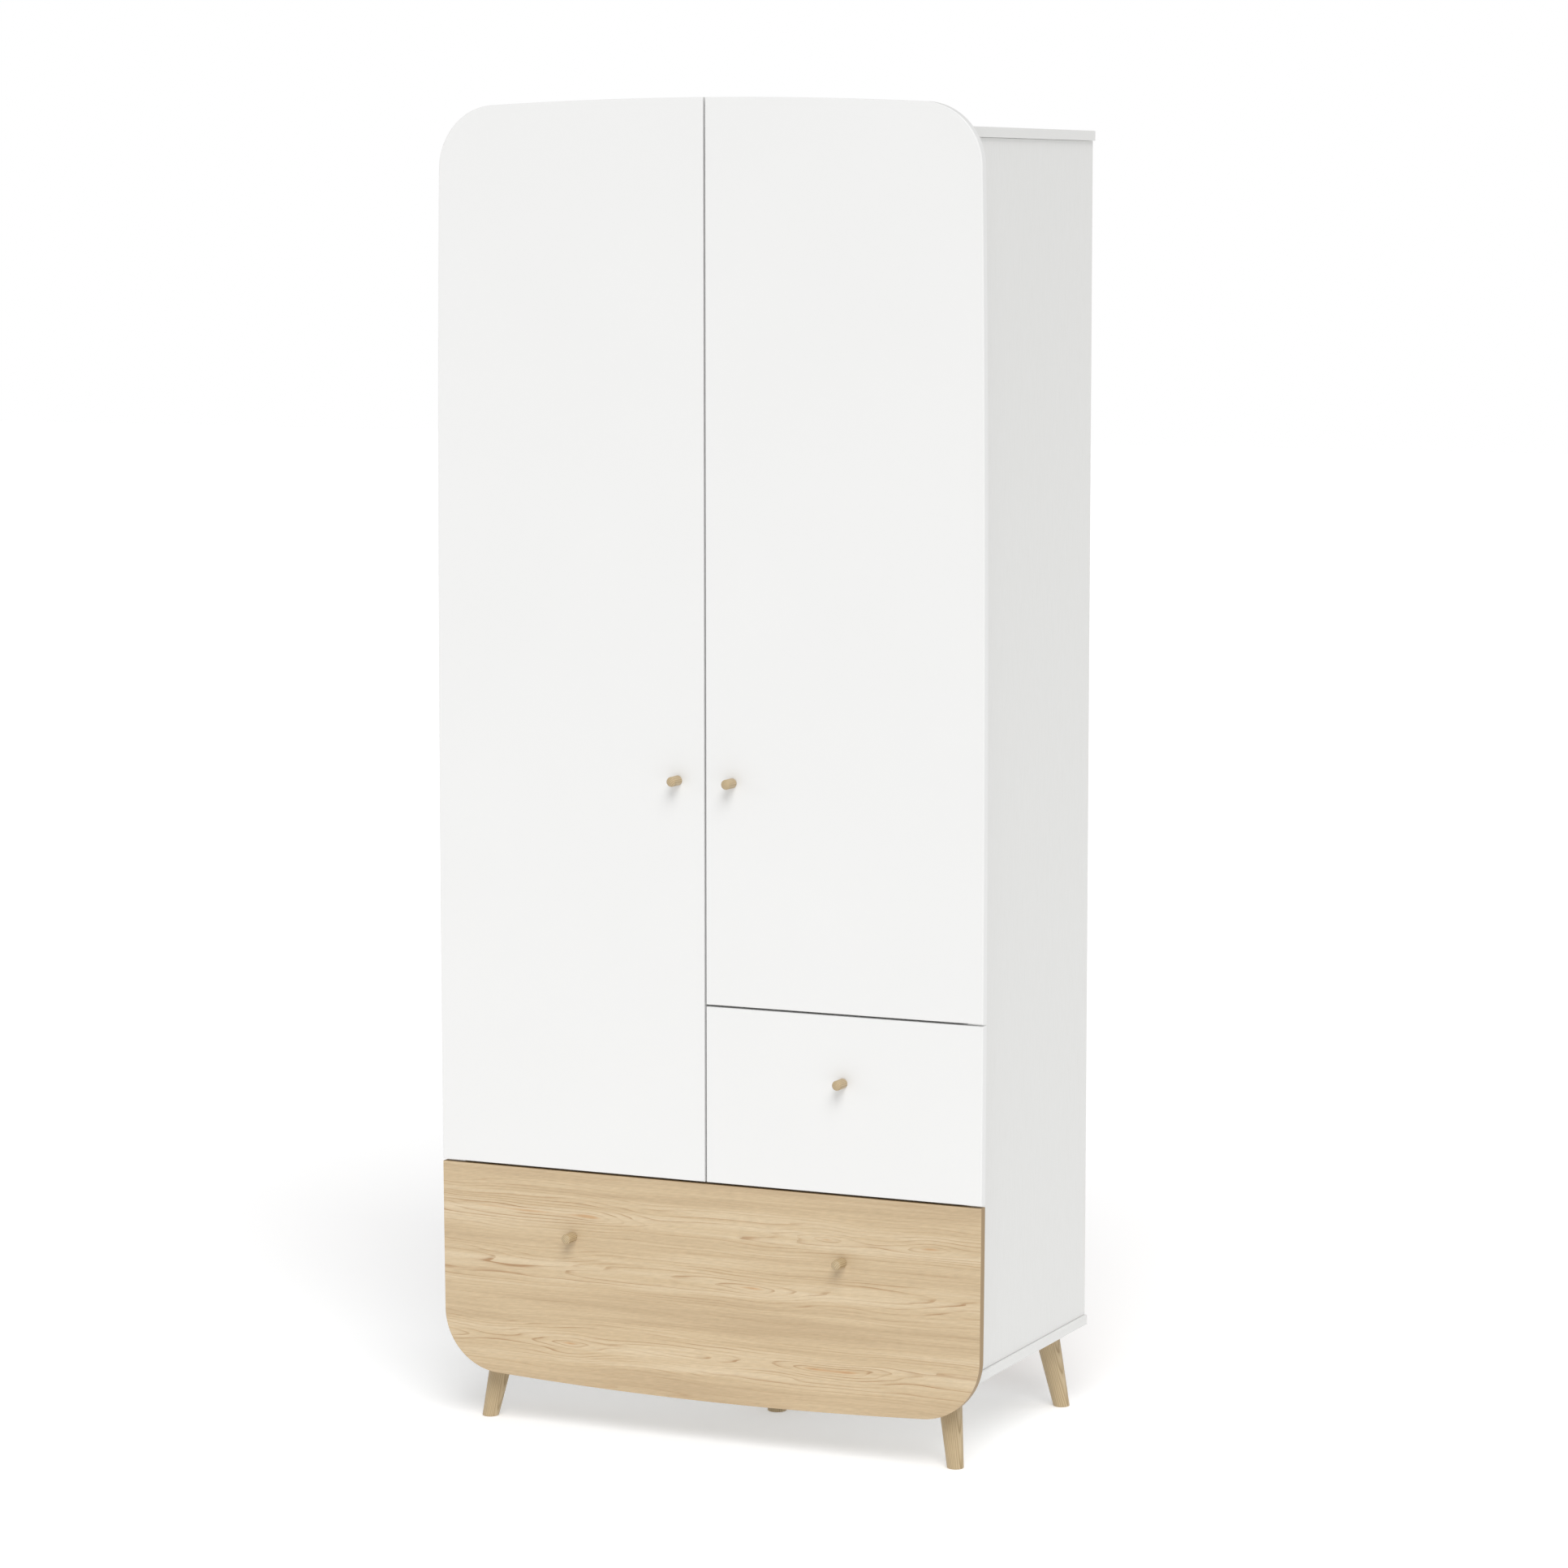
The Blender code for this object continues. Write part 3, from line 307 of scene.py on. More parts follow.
WHITE_FRONT = ("E7E7E6", "E8E8E7")
WHITE_BOARD = ("DFDFDD", "E2E2E0", "E4E4E3")
PINE_ROWS = (138 * MM, 253 * MM, 338 * MM)  # heights of the rows' middles
PINE_ROW_REACH = 60 * MM
PINE_ROW_BLEND = 12 * MM
PINE_RING = 4.6 * MM
PINE_DUSK, PINE_MID, PINE_LIGHT = "BCA584", "C9B391", "D4C1A2"
PINE_LINE, PINE_HEART = "A07A52", "BE9468"
FIBRE_SLANT = 0.1  # radians: the fibres cross the rings a little
# edge band colours: the band's print, darkened further as painted shade for the edges in the gaps
PINE_BAND_WITH_PAINTED_SHADE = ("957A54", "A2875F")
TURNED = ("C2AE8C", "B7A27F", "A08A66")
TURNED_RING = 2.4 * MM
TURNED_CORE = 34 * MM
BACK_MIDDLE_Y = (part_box("back_panel")[0][1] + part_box("back_panel")[1][1]) / 2

LACQUER = white_lacquer()
BOARD_UPRIGHT = melamine("white_melamine_upright", (1.5, 1.5, 28))
BOARD_LEVEL = melamine("white_melamine_level", (28, 1.5, 1.5))
BOARD_DEEP = melamine("white_melamine_deep", (1.5, 28, 1.5))
PINE = pine_decor()
PINE_EDGE_WITH_PAINTED_SHADE = pine_edge_band_with_painted_shade()
HARDBOARD = hardboard()
NICKEL = nickel_steel()
POWDER_COAT = white_powder_coat()
CHROME = chrome_tube()
NYLON = moulded_nylon()
ZINC = zinc_screw()


# ---- Surfaces -----------------------------------------------------------------------------------
SHARP_ANGLE = 30
SQUARE = 0.99999


def shade(mesh):
    """Smooth shading below SHARP_ANGLE, and flat on faces that are square to an axis."""
    mesh.shade_smooth()
    mesh.set_sharp_from_angle(angle=math.radians(SHARP_ANGLE))
    normals = np.empty(len(mesh.polygons) * 3, np.float32)
    mesh.polygons.foreach_get("normal", normals)
    square = np.abs(normals.reshape(-1, 3)).max(axis=1) > SQUARE
    mesh.polygons.foreach_set("use_smooth", ~square)


def link_mesh(name, points, faces, material):
    """A mesh object with its place in its mesh."""
    mesh = bpy.data.meshes.new(name)
    mesh.from_pydata(points, [], faces)
    shade(mesh)
    mesh.materials.append(material)
    piece = bpy.data.objects.new(name, mesh)
    bpy.context.scene.collection.objects.link(piece)
    return piece


def skin(rings, looped=False):
    """Points and faces of a closed body through rings (count, steps, 3): neighbouring rings are joined by
    four-cornered faces. The first and last ring are closed by one flat face each or, in a looped body,
    joined to each other. The enclosed volume, a sum over the faces of corner triple products, tells whether
    the faces have to be turned round."""
    count, steps, _ = rings.shape
    bands = count if looped else count - 1
    ring, step = np.meshgrid(np.arange(bands), np.arange(steps), indexing="ij")
    after, above = (step + 1) % steps, (ring + 1) % count
    corners = (ring * steps + step, ring * steps + after, above * steps + after, above * steps + step)
    quads = np.stack(corners, axis=-1).reshape(-1, 4)
    points = rings.reshape(-1, 3)
    ends = [] if looped else [np.arange(steps)[::-1], (count - 1) * steps + np.arange(steps)]
    centred = points - points.mean(axis=0)
    a, b, c, d = (centred[quads[:, i]] for i in range(4))
    volume = np.sum(np.cross(a, b) * c) + np.sum(np.cross(a, c) * d)
    for end in ends:
        fan = centred[end]
        volume += np.sum(np.cross(fan[0], fan[1:-1]) * fan[2:])
    faces = [face.tolist() for face in (*quads, *ends)]
    return points, faces if volume > 0 else [face[::-1] for face in faces]


def joined(bodies):
    """Several (points, faces) bodies as one."""
    points, faces, start = [], [], 0
    for body_points, body_faces in bodies:
        points.append(body_points)
        faces += [[start + i for i in face] for face in body_faces]
        start += len(body_points)
    return np.concatenate(points), faces


def frame_along(axis):
    """Two unit vectors across an axis, and the unit axis."""
    axis = np.array(axis, float) / np.linalg.norm(axis)
    helper = (1.0, 0.0, 0.0) if abs(axis[0]) < 0.9 else (0.0, 1.0, 0.0)
    across = np.cross(helper, axis)
    across /= np.linalg.norm(across)
    return across, np.cross(axis, across), axis


def turned(profile, place, axis, steps=48, looped=False):
    """A turned body: each (radius, height) pair gives a circle of that radius, height along the axis. A
    looped profile closes on itself, which leaves a hole round the axis."""
    u, v, w = frame_along(axis)
    angles = np.linspace(0, 2 * np.pi, steps, endpoint=False)
    circle = np.cos(angles)[:, None] * u + np.sin(angles)[:, None] * v
    profile = np.array(profile, float)
    rings = profile[:, :1, None] * circle[None] + profile[:, 1:, None] * w + np.array(place, float)
    return skin(rings, looped)


def block(low, high, edge=0.5 * MM, steps=2):
    """A box with rounded edges: a rounded rectangle in plan, carried up along a quarter-circle inset at the
    bottom and again at the top."""
    low, high = np.array(low, float), np.array(high, float)
    turn = np.linspace(0, np.pi / 2, steps + 1)
    starts = np.array([0, 1, 2, 3]) * np.pi / 2
    angles = (starts[:, None] + turn[None]).ravel()
    centre_signs = np.repeat(np.array([(1, 1), (-1, 1), (-1, -1), (1, -1)]), steps + 1, axis=0)
    half = (high[:2] - low[:2]) / 2
    outward = np.stack([np.cos(angles), np.sin(angles)], axis=1)
    inset = edge * (1 - np.sin(turn))
    rise = edge * (1 - np.cos(turn))
    insets = np.concatenate([inset, inset[::-1]])
    heights = np.concatenate([low[2] + rise, high[2] - rise[::-1]])
    rings = []
    for shrink, height in zip(insets, heights):
        flat = centre_signs * (half - edge) + outward * (edge - shrink)
        rings.append(np.column_stack([flat + (low[:2] + high[:2]) / 2, np.full(len(flat), height)]))
    return skin(np.array(rings))


# ---- Fronts -------------------------------------------------------------------------------------
FRONT_GAP = 3.2 * MM
LACQUER_ROUND = 1.4 * MM  # edge at the face, softened by the lacquer
BAND_ROUND = 0.7 * MM  # edge at the face of the banded board
BACK_ROUND = 0.8 * MM
ROUND_STEPS = 6
CORNER_RADIUS = 95 * MM
CORNER_STEPS = 48
CORNER_PASSES = 20  # rounds of stepping in, enough to settle a corner's middle
TOP_RADIUS = 7100 * MM
BOTTOM_RADIUS = 6700 * MM
END_STEPS = 24
WIDEST_HEIGHT = 828 * MM  # above the fronts' lower edge
SIDE_BOW = 4.18 * MM  # how far the side edge has come in, BOW_SPAN above or below the widest height
SIDE_BOW_END = 1.10 * MM  # and the part of it that grows with the fourth power
BOW_SPAN = 900 * MM
SIDE_STEPS = 90
CUP_RADIUS = 17.5 * MM
CUP_PLAY = 0.3 * MM
CUP_RECESS = 11.1 * MM
SAME_POINT = 0.05 * MM
FLANGE_WIDTH = 36 * MM
EDGE_BAND_LIMIT = 0.4  # faces turned further than this from the board's plane carry the edge band
SCREWS = {
    body: [] for body in
    ("carcass", "carcass_flat", "left_door", "right_door", "small_drawer", "large_drawer")
}  # places and axes, gathered as the fittings are made

FRONTS_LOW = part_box("large_drawer_front")[0][2]
FRONTS_HIGH = CAD_BOX[1][2]
HALF_WIDTH = CAD_BOX[1][0]
FACE_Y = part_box("left_door")[0][1]
FRONT_BACK_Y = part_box("left_door")[1][1]
CARCASS_FRONT_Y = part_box("left_side_panel")[0][1]
SIDE_INNER_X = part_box("right_side_panel")[0][0]
PLAY = 0.3 * MM  # gap between pieces that touch


def side_edge(z):
    """Half width of the fronts at height z: a parabola with a small fourth-power part."""
    u = (z - FRONTS_LOW - WIDEST_HEIGHT) / BOW_SPAN
    return HALF_WIDTH - SIDE_BOW * u**2 - SIDE_BOW_END * u**4


def top_edge(x):
    return FRONTS_HIGH - TOP_RADIUS + np.sqrt(TOP_RADIUS**2 - x**2)


def bottom_edge(x):
    return FRONTS_LOW + BOTTOM_RADIUS - np.sqrt(BOTTOM_RADIUS**2 - x**2)


def slope(curve, at, step=1 * MM):
    return (curve(at + step) - curve(at - step)) / (2 * step)


def corner_arc(end_edge, up):
    """Round corner at the right, from the end edge to the side edge, tangent to both.

    Its middle lies one radius inside both edges. It is found by stepping in from each edge in turn.
    """
    x, z = HALF_WIDTH - CORNER_RADIUS, end_edge(0) - up * CORNER_RADIUS
    for _ in range(CORNER_PASSES):
        side_angle = -np.arctan(slope(side_edge, z))
        end_angle = np.arctan(up * slope(end_edge, x))
        x, z = (
            side_edge(z + CORNER_RADIUS * np.sin(side_angle)) - CORNER_RADIUS * np.cos(side_angle),
            end_edge(x - CORNER_RADIUS * np.sin(end_angle)) - up * CORNER_RADIUS * np.cos(end_angle),
        )
    turns = np.linspace(up * (np.pi / 2 + end_angle), side_angle, CORNER_STEPS + 1)
    return np.column_stack([x + CORNER_RADIUS * np.cos(turns), z + CORNER_RADIUS * np.sin(turns)])


def fronts_outline():
    """The joint outline of all fronts, anticlockwise from the middle of the lower edge: bottom arc, corner,
    bowed side, corner and top arc on the right, then the same mirrored on the left."""
    low, high = corner_arc(bottom_edge, -1), corner_arc(top_edge, 1)[::-1]
    along_bottom = np.linspace(0, low[0, 0], END_STEPS + 1)[:-1]
    up_side = np.linspace(low[-1, 1], high[0, 1], SIDE_STEPS + 1)[1:-1]
    along_top = np.linspace(high[-1, 0], 0, END_STEPS + 1)[1:]
    bottom = np.column_stack([along_bottom, bottom_edge(along_bottom)])
    side = np.column_stack([side_edge(up_side), up_side])
    top = np.column_stack([along_top, top_edge(along_top)])
    half = np.concatenate([bottom, low, side, high, top])
    return np.concatenate([half, half[-2:0:-1] * (-1, 1)])


def cut_outline(outline, axis, limit, keep):
    """The part of a convex outline above (keep = 1) or below (keep = -1) a limit on one axis: the points on
    that side, with a new point wherever an edge crosses the limit."""
    before = np.roll(outline, 1, axis=0)
    gap, gap_before = keep * (outline[:, axis] - limit), keep * (before[:, axis] - limit)
    crosses = gap * gap_before < 0
    share = gap_before / np.where(crosses, gap_before - gap, 1)
    both = np.stack([before + share[:, None] * (outline - before), outline], axis=1).reshape(-1, 2)
    cut = both[np.stack([crosses, gap > 0], axis=1).ravel()]
    return cut[np.linalg.norm(cut - np.roll(cut, 1, axis=0), axis=1) > SAME_POINT]


def inset(outline, distance):
    """An anticlockwise outline moved inwards: each point goes along the mitre of its two edges' normals."""
    edges = np.roll(outline, -1, axis=0) - outline
    normals = np.column_stack([edges[:, 1], -edges[:, 0]]) / np.linalg.norm(edges, axis=1)[:, None]
    before = np.roll(normals, 1, axis=0)
    mitre = (before + normals) / (1 + np.sum(before * normals, axis=1))[:, None]
    return outline - distance * mitre


def front_board(outline, face_round):
    """A front: its outline carried back through the board. It is inset by r (1 - sin t) at depth
    r (1 - cos t), a quarter circle at the face and another at the back, with straight edges between."""
    turn = np.linspace(0, np.pi / 2, ROUND_STEPS + 1)
    face = [(face_round * (1 - np.sin(t)), FACE_Y + face_round * (1 - np.cos(t))) for t in turn]
    back = [(BACK_ROUND * (1 - np.sin(t)), FRONT_BACK_Y - BACK_ROUND * (1 - np.cos(t))) for t in turn]
    straight = [(0, FACE_Y + 1.3 * face_round), (0, FRONT_BACK_Y - 1.5 * BACK_ROUND)]
    rings = []
    for distance, y in face + straight + back[::-1]:
        flat = inset(outline, distance)
        rings.append(np.column_stack([flat[:, 0], np.full(len(flat), y), flat[:, 1]]))
    return skin(np.array(rings))


def cut_by(piece, cutters):
    """Cuts closed bodies out of a piece and settles the result in its mesh."""
    tool = link_mesh("cutter", *joined(cutters), LACQUER)
    boolean = piece.modifiers.new("cut", "BOOLEAN")
    boolean.operation = "DIFFERENCE"
    boolean.object = tool
    bpy.context.view_layer.update()
    evaluated = piece.evaluated_get(bpy.context.evaluated_depsgraph_get())
    cut = bpy.data.meshes.new_from_object(evaluated)
    piece.modifiers.clear()
    cut.name = piece.data.name
    piece.data = cut
    shade(cut)
    bpy.data.objects.remove(tool)
    return piece


def finished(piece, body, slot, *nodes):
    """Hangs a piece on the body it rides on and hides the nodes it stands for. slot, the finish it takes, is
    not used.
    """
    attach(piece, body)
    if nodes:
        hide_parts(*nodes)
    return piece


def hinge_heights(side):
    boxes = [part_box(f"{side}_hinge_{place}_door_leaf") for place in ("bottom", "middle", "top")]
    return [(low[2] + high[2]) / 2 for low, high in boxes]


def make_fronts():
    whole = fronts_outline()
    large_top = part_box("large_drawer_front")[1][2]
    small_low, small_top = (corner[2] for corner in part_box("small_drawer_front"))
    half_gap = FRONT_GAP / 2
    large = cut_outline(whole, 1, large_top, -1)
    piece = link_mesh("large_drawer_pine_front", *front_board(large, BAND_ROUND), PINE)
    # the edge faces take the edge band, whose darker colour is partly its print and partly painted shade
    piece.data.materials.append(PINE_EDGE_WITH_PAINTED_SHADE)
    normals = np.empty(len(piece.data.polygons) * 3, np.float32)
    piece.data.polygons.foreach_get("normal", normals)
    is_edge = np.abs(normals.reshape(-1, 3)[:, 1]) < EDGE_BAND_LIMIT
    piece.data.polygons.foreach_set("material_index", is_edge.astype(np.int32))
    finished(piece, "large_drawer", "pine_decor", "large_drawer_front")
    right_half = cut_outline(whole, 0, half_gap, 1)
    small = cut_outline(cut_outline(right_half, 1, small_low, 1), 1, small_top, -1)
    piece = link_mesh("small_drawer_lacquered_front", *front_board(small, LACQUER_ROUND), LACQUER)
    finished(piece, "small_drawer", "white_lacquer", "small_drawer_front")
    for side, sign in SIDES:
        door = cut_outline(cut_outline(whole, 0, sign * half_gap, sign), 1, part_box(f"{side}_door")[0][2], 1)
        piece = link_mesh(f"{side}_lacquered_door", *front_board(door, LACQUER_ROUND), LACQUER)
        leaf_low, leaf_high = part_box(f"{side}_hinge_top_door_leaf")
        cup_x = (leaf_low[0] + FLANGE_WIDTH / 2) if sign > 0 else (leaf_high[0] - FLANGE_WIDTH / 2)
        radius = CUP_RADIUS + CUP_PLAY
        recess = [(radius, 0), (radius, 2 * CUP_RECESS)]
        cutters = [
            turned(recess, (cup_x, FRONT_BACK_Y + CUP_RECESS, z), (0, -1, 0), steps=64)
            for z in hinge_heights(side)
        ]
        cut_by(piece, cutters)
        finished(piece, f"{side}_door", "white_lacquer", f"{side}_door")


# ---- Pegs and legs ------------------------------------------------------------------------------
PEG_DOME = 1.2 * MM
PEG_ROUND = 4 * MM
FOOT_ROUND = 1.5 * MM
LEG_SPLAY = 20 * MM
LEG_RINGS = 24
LEG_STEPS = 64
LEG_FOOT_RADIUS = 12.5 * MM
LEG_TOP_RADIUS = 19.5 * MM
FOOT_SPREAD = 1.012  # a leaning leg's level foot is an ellipse, a little wider
PEGS = {
    "left_door_knob": "left_door",
    "right_door_knob": "right_door",
    "small_drawer_knob": "small_drawer",
    "large_drawer_knob_left": "large_drawer",
    "large_drawer_knob_right": "large_drawer",
}


def make_pegs():
    """Peg handles: a straight rod with a domed end. Past the straight part, the radius falls as a quarter
    circle in PEG_ROUND, and the end rises by a shallow parabola to PEG_DOME at the middle."""
    for node, body in PEGS.items():
        low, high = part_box(node)
        radius = (high[0] - low[0]) / 2
        length = high[1] - low[1]
        x, z = (low[0] + high[0]) / 2, (low[2] + high[2]) / 2
        flat = radius - PEG_ROUND
        turn = np.linspace(0, np.pi / 2, ROUND_STEPS + 2)
        shoulder = length - PEG_DOME - PEG_ROUND
        rise = [(flat + PEG_ROUND * np.cos(t), shoulder + PEG_ROUND * np.sin(t)) for t in turn]
        across = np.linspace(flat, 0.4 * MM, ROUND_STEPS)[1:]
        dome = [(r, length - PEG_DOME * (r / flat) ** 2) for r in across]
        profile = [(radius - 0.3 * MM, 0), (radius, 0.3 * MM), (radius, 0.6 * shoulder), *rise, *dome]
        base = (x, high[1], z)
        wood = turned_pine(f"turned_pine_{node}", base, (0.04, -1.0, 0.06))
        piece = link_mesh(f"{node}_turning", *turned(profile, base, (0, -1, 0)), wood)
        finished(piece, body, "turned_pine", node)


def leaning_leg(foot, lean, height, foot_radius, top_radius):
    """A leg: level rings up a leaning line. The radius grows evenly from foot to top, and each ring is
    stretched along the lean by one over the cosine of the tilt. The foot's edge is a quarter circle."""
    lean = np.array(lean, float)
    reach = np.linalg.norm(lean)
    towards = lean / reach if reach else np.array([1.0, 0.0])
    stretch = np.hypot(reach, height) / height
    turn = np.linspace(0, np.pi / 2, ROUND_STEPS + 1)
    levels = np.concatenate([FOOT_ROUND * (1 - np.cos(turn)), np.linspace(2 * FOOT_ROUND, height, LEG_RINGS)])
    shrink = np.concatenate([FOOT_ROUND * (1 - np.sin(turn)), np.zeros(LEG_RINGS)])
    radii = foot_radius + (top_radius - foot_radius) * levels / height - shrink
    angles = np.linspace(0, 2 * np.pi, LEG_STEPS, endpoint=False)
    along = stretch * np.cos(angles)[:, None] * towards
    circle = along + np.sin(angles)[:, None] * np.array([-towards[1], towards[0]])
    middles = np.array(foot[:2]) + levels[:, None] / height * lean
    flat = middles[:, None] + radii[:, None, None] * circle[None]
    heights = np.broadcast_to(levels[:, None, None] + foot[2], (*flat.shape[:2], 1))
    return skin(np.concatenate([flat, heights], axis=2))


def make_legs():
    for row, outward in (("front", -1), ("rear", 1)):
        for side, sign in SIDES:
            node = f"leg_{row}_{side}"
            low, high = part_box(node)
            lean = (-sign * LEG_SPLAY, -outward * LEG_SPLAY)
            across = LEG_FOOT_RADIUS * FOOT_SPREAD
            x = high[0] - across if sign > 0 else low[0] + across
            y = high[1] - across if outward > 0 else low[1] + across
            foot = (x, y, low[2])
            height = high[2] - low[2]
            wood = turned_pine(f"turned_pine_{node}", foot, (*lean, height))
            shape = leaning_leg(foot, lean, height, LEG_FOOT_RADIUS, LEG_TOP_RADIUS)
            finished(link_mesh(f"{node}_turning", *shape, wood), "carcass", "turned_pine", node)
    low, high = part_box("centre_foot")
    foot = ((low[0] + high[0]) / 2, (low[1] + high[1]) / 2, low[2])
    radius, height = (high[0] - low[0]) / 2, high[2] - low[2]
    wood = turned_pine("turned_pine_centre_foot", foot, (0.02, 0.05, 1.0))
    shape = leaning_leg(foot, (0, 0), height, radius, radius)
    finished(link_mesh("centre_foot_turning", *shape, wood), "carcass", "turned_pine", "centre_foot")


# ---- Hinges -------------------------------------------------------------------------------------
HINGE_STEEL = 1.2 * MM
STRIP_EDGE = 0.3 * MM
CUP_WALL = 1.5 * MM
CUP_DEPTH = 12 * MM
CUP_ROUND = 2.5 * MM  # between the cup's floor and wall
FLANGE_HEIGHT = 60 * MM
FLANGE_POWER = 5  # of the superellipse: a rectangle with well rounded corners
KNUCKLE_RADIUS = 3.3 * MM
KNUCKLE_BORE = 1.8 * MM
PIN_RADIUS = 1.5 * MM
CUP_SCREWS = 24 * MM  # above and below the cup's middle
ARM_SCREWS = (16 * MM, 38 * MM)  # behind the arm's front end
CUP_LINK = 5 * MM  # half height of the link that comes out of the cup
CUP_LINK_SUNK = 7 * MM
CUP_LINK_EDGE = 2 * MM


def knuckle(pivot, low, high):
    """A tube of KNUCKLE_RADIUS round the pin, with a bore of KNUCKLE_BORE."""
    height = high - low
    wall = [(KNUCKLE_RADIUS, 0), (KNUCKLE_RADIUS, height), (KNUCKLE_BORE, height), (KNUCKLE_BORE, 0)]
    return turned(wall, (*pivot, low), (0, 0, 1), looped=True)


def cup_leaf(middle, hinge_low, hinge_high, pivot):
    """Cup and flange in one pressing, an arm and a knuckle. The pressing is a set of closed lines round the
    cup's axis: circles inside the cup, a superellipse at the flange's edge, and circles outside the cup."""
    angles = np.linspace(0, 2 * np.pi, 96, endpoint=False)
    across, up = np.cos(angles), np.sin(angles)
    half_width, half_height = FLANGE_WIDTH / 2, FLANGE_HEIGHT / 2
    powers = np.abs(across / half_width) ** FLANGE_POWER + np.abs(up / half_height) ** FLANGE_POWER
    edge = powers ** (-1 / FLANGE_POWER)
    circle = np.ones_like(edge)
    bore, floor = CUP_RADIUS - CUP_WALL, CUP_DEPTH - CUP_WALL
    turn = np.linspace(0, np.pi / 2, ROUND_STEPS + 1)
    lines = [(bore - CUP_ROUND * (1 - np.sin(t)), CUP_ROUND * (1 - np.cos(t)) - floor) for t in turn]
    lines = [(circle * (bore - 2 * CUP_ROUND), -floor), *((circle * r, y) for r, y in lines)]
    lines += [(circle * bore, 0.2 * MM), (circle * (bore + 0.4 * MM), 0.6 * MM)]
    lines += [(circle * (CUP_RADIUS + 0.4 * MM), 0.6 * MM), (circle * (CUP_RADIUS + 0.8 * MM), 0.0)]
    lines += [(edge - STRIP_EDGE, 0.0), (edge, -STRIP_EDGE), (edge, STRIP_EDGE - HINGE_STEEL)]
    lines += [(edge - STRIP_EDGE, -HINGE_STEEL), (circle * CUP_RADIUS, -HINGE_STEEL)]
    lines += [(circle * CUP_RADIUS, -floor), (circle * (CUP_RADIUS - CUP_ROUND), -CUP_DEPTH)]
    rings = [
        np.column_stack([middle[0] + r * across, np.full(len(r), middle[1] + y), middle[2] + r * up])
        for r, y in lines
    ]
    near, far = middle[1] - HINGE_STEEL, middle[1]
    reach = sorted([middle[0], pivot[0]])
    arm = block((reach[0], near, hinge_low), (reach[1], far, hinge_high), STRIP_EDGE)
    link_low, link_high = middle[2] - CUP_LINK, middle[2] + CUP_LINK
    link_near = (middle[0] - CUP_LINK, near - CUP_LINK_SUNK, link_low)
    link = block(link_near, (middle[0] + CUP_LINK, far, link_high), CUP_LINK_EDGE)
    return joined([skin(np.array(rings)), arm, link, knuckle(pivot, hinge_low, hinge_high)])


def make_hinges():
    """Each hinge is two pieces: a cup leaf on the door, and an arm, a strap and the pin on the carcass."""
    for side, sign in SIDES:
        for place in ("bottom", "middle", "top"):
            stem = f"{side}_hinge_{place}"
            leaf_low, leaf_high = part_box(f"{stem}_door_leaf")
            arm_low, arm_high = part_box(f"{stem}_carcass_leaf")
            pin_low, pin_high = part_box(f"{stem}_pin")
            pivot = ((pin_low[0] + pin_high[0]) / 2, (pin_low[1] + pin_high[1]) / 2)
            cup_x = leaf_low[0] + FLANGE_WIDTH / 2 if sign > 0 else leaf_high[0] - FLANGE_WIDTH / 2
            level = (leaf_low[2] + leaf_high[2]) / 2
            flange_y = FRONT_BACK_Y + PLAY + HINGE_STEEL
            upper = (arm_high[2] + 0.4 * MM, level + (level - arm_low[2]))
            leaf = cup_leaf((cup_x, flange_y, level), *upper, pivot)
            name = f"{stem}_cup_leaf"
            piece = link_mesh(name, *leaf, NICKEL)
            finished(piece, f"{side}_door", "nickel_steel", f"{stem}_door_leaf")
            for z in (level - CUP_SCREWS, level + CUP_SCREWS):
                SCREWS[f"{side}_door"].append(((cup_x, flange_y, z), (0, 1, 0)))
            wall = SIDE_INNER_X - PLAY
            strap_y = CARCASS_FRONT_Y - PLAY - HINGE_STEEL
            spans = [((wall - HINGE_STEEL, strap_y), (wall, arm_high[1]))]
            spans += [((wall - HINGE_STEEL, strap_y), (abs(pivot[0]), strap_y + HINGE_STEEL))]
            parts = []
            for (x0, y0), (x1, y1) in spans:
                x0, x1 = sorted([sign * x0, sign * x1])
                parts.append(block((x0, y0, arm_low[2]), (x1, y1, arm_high[2]), STRIP_EDGE))
            parts.append(knuckle(pivot, arm_low[2], arm_high[2]))
            head = pin_high[2] - pin_low[2] - 1.2 * MM
            wide = (pin_high[0] - pin_low[0]) / 2
            pin = [(PIN_RADIUS - 0.4 * MM, 0), (PIN_RADIUS, 0.4 * MM), (PIN_RADIUS, head), (wide, head)]
            pin += [(wide, head + 0.5 * MM), (0.8 * wide, head + 1.0 * MM), (0.4 * wide, head + 1.2 * MM)]
            parts.append(turned(pin, (*pivot, pin_low[2]), (0, 0, 1)))
            piece = link_mesh(f"{stem}_arm", *joined(parts), NICKEL)
            finished(piece, "carcass", "nickel_steel", f"{stem}_carcass_leaf", f"{stem}_pin")
            for back in ARM_SCREWS:
                at = (sign * (wall - HINGE_STEEL), CARCASS_FRONT_Y + back, (arm_low[2] + arm_high[2]) / 2)
                SCREWS["carcass"].append((at, (-sign, 0, 0)))


